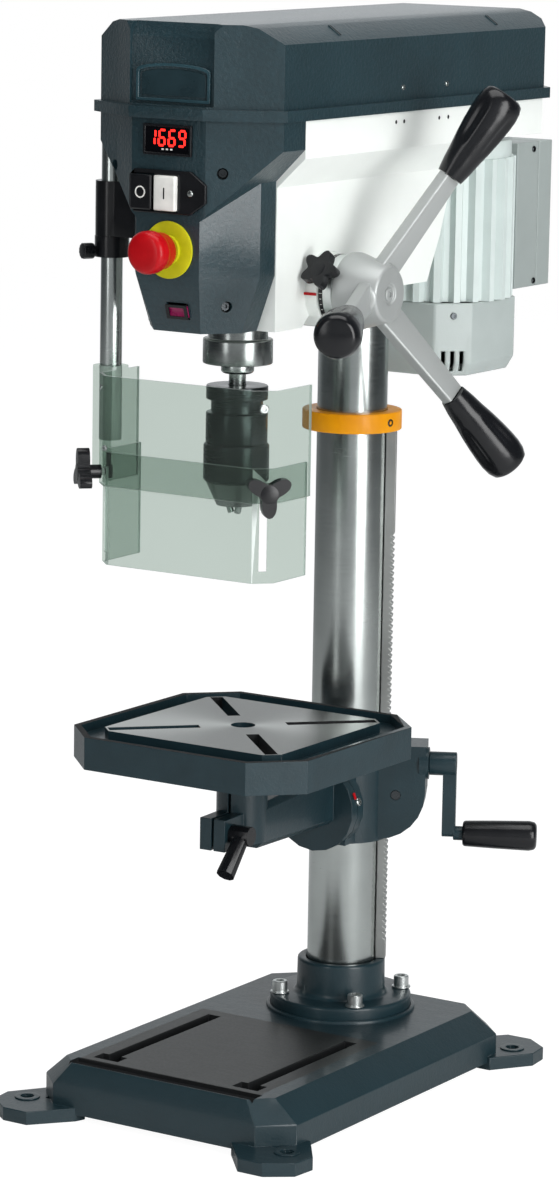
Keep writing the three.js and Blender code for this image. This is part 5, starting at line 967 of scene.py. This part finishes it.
class BuildControls(PressOperator):
    """Builds the readout, the push buttons, the stop knob and the lamp's rocker"""
    bl_idname = "press.controls"
    bl_label = "Controls"

    SEGMENTS = {"1": "bc", "6": "acdefg", "9": "abcdfg"}
    BARS = {"a": (0, 6.4, 1), "b": (3, 3.2, 0), "c": (3, -3.2, 0), "d": (0, -6.4, 1), "e": (-3, -3.2, 0),
            "f": (-3, 3.2, 0), "g": (0, 0, 1)}
    DIGIT_SIZE, DIGIT_STEP = 1.15, 11.6

    def build(self, detail):
        for node, plastic, soften in (("speed_display", "black", 0.6), ("switch_plate", "black", 1.2),
                                      ("stop_button", "black", 1.6), ("start_button", "white", 1.6),
                                      ("lamp_switch", "magenta", 0.8)):
            dressed(node, [plastic + " plastic"], soften=soften)
        self.readout()
        self.button_marks()
        self.lamp_frame()
        self.emergency_stop()

    def readout(self):
        """The dark glass, its four lit digits and three small marks below them."""
        glass = Shape().prism(rounded_box(25.2, 12.2, 0.6, 2), 0, 0.2, on_cover(0, 1000, 2.55))
        glass.piece("readout glass", ["dark glass"], "black_plastic", "stand")
        face = 2.78
        digits = Shape()
        for k, digit in enumerate("1669"):
            for bar in self.SEGMENTS[digit]:
                x, z, flat = self.BARS[bar]
                half = (2.8, 1.1) if flat else (1.1, 3.0)
                right = -17.4 + self.DIGIT_STEP * k + x * self.DIGIT_SIZE + z * 0.14
                place = on_cover(right, 1002 + z * self.DIGIT_SIZE, face)
                digits.prism(rounded_box(*half, 0.6, 2), 0, 0.25, place)
        for k in range(3):
            digits.prism(rounded_box(1.3, 0.8, 0.3, 2), 0, 0.2, on_cover(-5 + 5 * k, 991, face), 1)
        digits.piece("readout digits", ["red glow", "white plastic"], "red_plastic", "stand")

    @staticmethod
    def button_marks():
        """The circle and the bar on the two buttons, and the screw beside them."""
        height, face = 949, 9.2
        turned("stop mark", ["white plastic"], ring(4.6, 5.9, 0, 0.3), on_cover(-26.5, height, face), 0, 40,
               body="stop")
        bar = Shape().prism(rounded_box(0.7, 5.5, 0.4, 2), 0, 0.3, on_cover(1.2, height, face))
        bar.piece("start mark", ["black plastic"], body="start")
        turned("plate screw", ["turned steel"], [(0, 0), (3.4, 0), (3.0, 1.4), (0, 1.8)],
               on_cover(29, 950, 4.2), 0.5, 32, slot="bright_steel", body="stand")

    @staticmethod
    def lamp_frame():
        """The frame round the rocker, on the part of the cover that leans back below its bend."""
        bend = move(0, COVER_FRONT, 868)
        lean = bend @ Matrix.Rotation(atan2(18.5, 56), 4, "X") @ bend.inverted()
        frame_ring = Shape().rim(rounded_box(12.4, 7.4, 1, 3), rounded_box(8.8, 4.6, 0.6, 3), 2.2, 3.3,
                                 lean @ on_cover(6, 832))
        frame_ring.piece("lamp frame", ["black plastic"], body="lamp")

    @staticmethod
    def emergency_stop():
        """The yellow disc, the collar and the red mushroom knob."""
        place, bore, stem, wide = on_cover(2, 894), 9.4, 9, 21
        turned("stop disc", ["yellow plastic"], ring(bore, 28, 0.3, 2.3), place, 0.5, 96, node="estop_disc")
        turned("stop collar", ["yellow plastic"], ring(bore, 15, 2.4, 6.2), place, 0.6, 64, body="stand")
        turned("stop knob", ["red plastic"],
               [(0, -11.5), (stem, -11.5), (stem, 12), (16, 12), (18, 14), (19, 26), (wide, 30), (wide, 40),
                (18, 44), (12, 45), (0, 45)], place, 3, 96, node="estop_button")


class BuildGuard(PressOperator):
    """Builds the guard: block, swivel collar, post, the two clear shields and their knobs"""
    bl_idname = "press.guard"
    bl_label = "Guard"

    POST = (-127, -258)
    BOLTS = (((86.9, -303.4, 741.5), (1, -1, 0), 4.6), ((-106.6, -302.1, 746), (-1, -1, 0), 2.8),
             ((-96, -311, 686.7), (0, -1, 0), 2.8))
    SHEET_EDGE = 4

    def build(self, detail):
        turned("guard post", ["ground steel"], disc(11, 687, 1004), move(*self.POST, 0), 1, 64,
               slot="bright_steel")
        for node, soften in (("guard_block", 1.6), ("guard_collar", 1.2)):
            dressed(node, ["black plastic"], soften=soften, sharp=42)
        stem, neck = 3.9, 8
        turned("guard knob", ["black plastic"],
               [(0, 11.7), (stem, 11.7), (stem, 21), (neck, 21), (neck, 33), (0, 33)],
               along((-0.5, -0.866025, 0), (*self.POST, 878)), 1.2, 60,
               swell=lambda angle, z: 1 - 0.05 * (cos(12 * angle) > 0.3) * (z > 21.5))
        for node in ("upper_shield", "lower_shield"):
            # the thin edge faces take the painted highlight
            dressed(node, ["clear plastic", "clear edge"], soften=detail.sheet_edge, sharp=30,
                    choose=lambda middle, normal, width: int(width < self.SHEET_EDGE))
        for i, (spot, way, radius) in enumerate(self.BOLTS, 1):
            place = along(Vector(way).normalized(), spot)
            screw("shield bolt %d" % i, "guard", place, radius, radius * 0.7, radius * 0.5, 1.2)
        nut, stem, neck = 7, 3, 9
        for name, side, x in (("left", -1, -106.7), ("right", 1, 88.3)):
            place = along(Vector((side, -1, 0)).normalized(), (x, -302, 661), radians(-45 * side))
            knob = Shape().lathe([(0, -10.8), (nut, -10.8), (nut, -6.9), (stem, -6.9), (stem, 0.3),
                                  (nut, 0.3), (nut, 12), (neck, 12), (neck, 25), (0, 25)], place, 0.6, 36)
            knob.prism(star(3, 9.4, 24, 16, 1.5), 12.4, 24.6, place)
            knob.piece("shield knob " + name, ["black plastic"], soften=2.4)


class BuildStage(PressOperator):
    """Builds the floor, the lights and the camera"""
    bl_idname = "press.stage"
    bl_label = "Studio"

    TARGET = Vector((0, -0.1, 0.6))
    CAMERA = (2.33449, -3.77498, 1.32197)
    TURN, DIP, ROLL = radians(32.67), radians(10.42), radians(0.98)
    SENSOR, FOCAL_PIXELS, PICTURE_PIXELS = 36, 4293, 1183
    TO_CAMERA = (0.53, -0.848, 0)
    WHITE = (1, 1, 1, 1)

    def build(self, detail):
        stage = bpy.context.scene.press_stage
        self.camera()
        self.sky(stage.sky)
        self.floor()
        for name, spot, size, power in (
                ("key light", (-0.4, -3.8, 1.7), (0.8, 2.8), stage.key_power),
                ("fill light", (3.25, -1.25, 1.3), (1.7, 2.8), stage.fill_power),
                ("top light", (0.2, -0.4, 3.2), (2.4, 2.0), stage.top_power)):
            data = bpy.data.lights.new(name, "AREA")
            data.shape = "RECTANGLE"
            data.size, data.size_y = size
            data.energy = power
            light = linked(name, data)
            light.location = spot
            light.rotation_euler = (self.TARGET - Vector(spot)).to_track_quat("-Z", "Y").to_euler()

    def camera(self):
        """Stands where the photograph was taken, turned, dipped and rolled as it was there."""
        data = bpy.data.cameras.new("camera")
        data.sensor_width = self.SENSOR
        data.lens = self.SENSOR * self.FOCAL_PIXELS / self.PICTURE_PIXELS
        data.clip_end = 50
        camera = linked("camera", data)
        camera.matrix_world = (Matrix.Translation(self.CAMERA) @ Matrix.Rotation(self.TURN, 4, "Z")
                               @ Matrix.Rotation(pi / 2 - self.DIP, 4, "X")
                               @ Matrix.Rotation(self.ROLL, 4, "Z"))
        bpy.context.scene.camera = camera
        bpy.context.scene.view_settings.view_transform = "Standard"

    def sky(self, strength):
        """White to the camera; to all else bright in front and behind, dark at the sides, stronger behind."""
        world = bpy.data.worlds.new("studio")
        bpy.context.scene.world = world
        world.use_nodes = True
        s = Nodes(world.node_tree, "ShaderNodeOutputWorld")
        place = s.node("ShaderNodeTexCoord", {}, {}, "Generated")
        facing = s.node("ShaderNodeVectorMath", {"operation": "DOT_PRODUCT"},
                        {0: place, 1: self.TO_CAMERA}, 1)
        shades = s.mixed(facing ** 4, (0.07, 0.08, 0.085, 1), (0.95, 0.98, 1.0, 1))
        level = (facing < 0) * 0.6 + 1
        lit = s.node("ShaderNodeBackground", {}, {"Color": shades, "Strength": level * strength})
        seen = s.node("ShaderNodeBackground", {}, {"Color": self.WHITE, "Strength": 1.0})
        s.picked(s.node("ShaderNodeLightPath", {}, {}, "Is Camera Ray"), lit, seen)

    def floor(self):
        """A pale floor that is almost white to the camera and still shows a faint shadow."""
        half, height = 6, -0.0006
        mesh = bpy.data.meshes.new("floor")
        mesh.from_pydata([(x * half, y * half, height) for x, y in ((-1, -1), (1, -1), (1, 1), (-1, 1))], [],
                         [(0, 1, 2, 3)])
        s = Shader("pale floor")
        cloud = s.noise(2)
        pale = s.mixed(cloud, (0.9, 0.9, 0.9, 1), (0.92, 0.92, 0.92, 1))
        surface = s.surface(Base_Color=pale, Roughness=cloud * 0.1 + 0.6)
        white = s.node("ShaderNodeEmission", {}, {"Color": self.WHITE, "Strength": 1.2})
        s.picked(s.node("ShaderNodeLightPath", {}, {}, "Is Camera Ray") * 0.8, surface, white)
        mesh.materials.append(s.material)
        linked("floor", mesh)


class PressPanel(bpy.types.Panel):
    """Buttons that build each group of pieces, and their settings"""
    bl_idname = "VIEW3D_PT_press"
    bl_label = "Drill press"
    bl_space_type = "VIEW_3D"
    bl_region_type = "UI"
    bl_category = "Drill press"

    def draw(self, context):
        for operator in OPERATORS:
            self.layout.operator(operator.bl_idname)
        for group in GROUPS:
            settings = getattr(context.scene, group)
            box = self.layout.box()
            for key in settings.__annotations__:
                box.prop(settings, key)


OPERATORS = [BuildBase, BuildColumn, BuildTable, BuildHead, BuildQuill, BuildChuck, BuildFeed, BuildDrive,
             BuildMotor, BuildControls, BuildGuard, BuildStage]
GROUPS = {"press_paint": PaintSettings, "press_metal": MetalSettings, "press_detail": DetailSettings,
          "press_stage": StageSettings}


def register():
    for group, kind in GROUPS.items():
        bpy.utils.register_class(kind)
        setattr(bpy.types.Scene, group, PointerProperty(type=kind))
    for kind in [*OPERATORS, PressPanel]:
        bpy.utils.register_class(kind)


def unregister():
    for kind in [PressPanel, *reversed(OPERATORS)]:
        bpy.utils.unregister_class(kind)
    for group, kind in GROUPS.items():
        delattr(bpy.types.Scene, group)
        bpy.utils.unregister_class(kind)


def main():
    register()
    for operator in OPERATORS:
        group, name = operator.bl_idname.split(".")
        getattr(getattr(bpy.ops, group), name)()


if __name__ == "__main__":
    main()
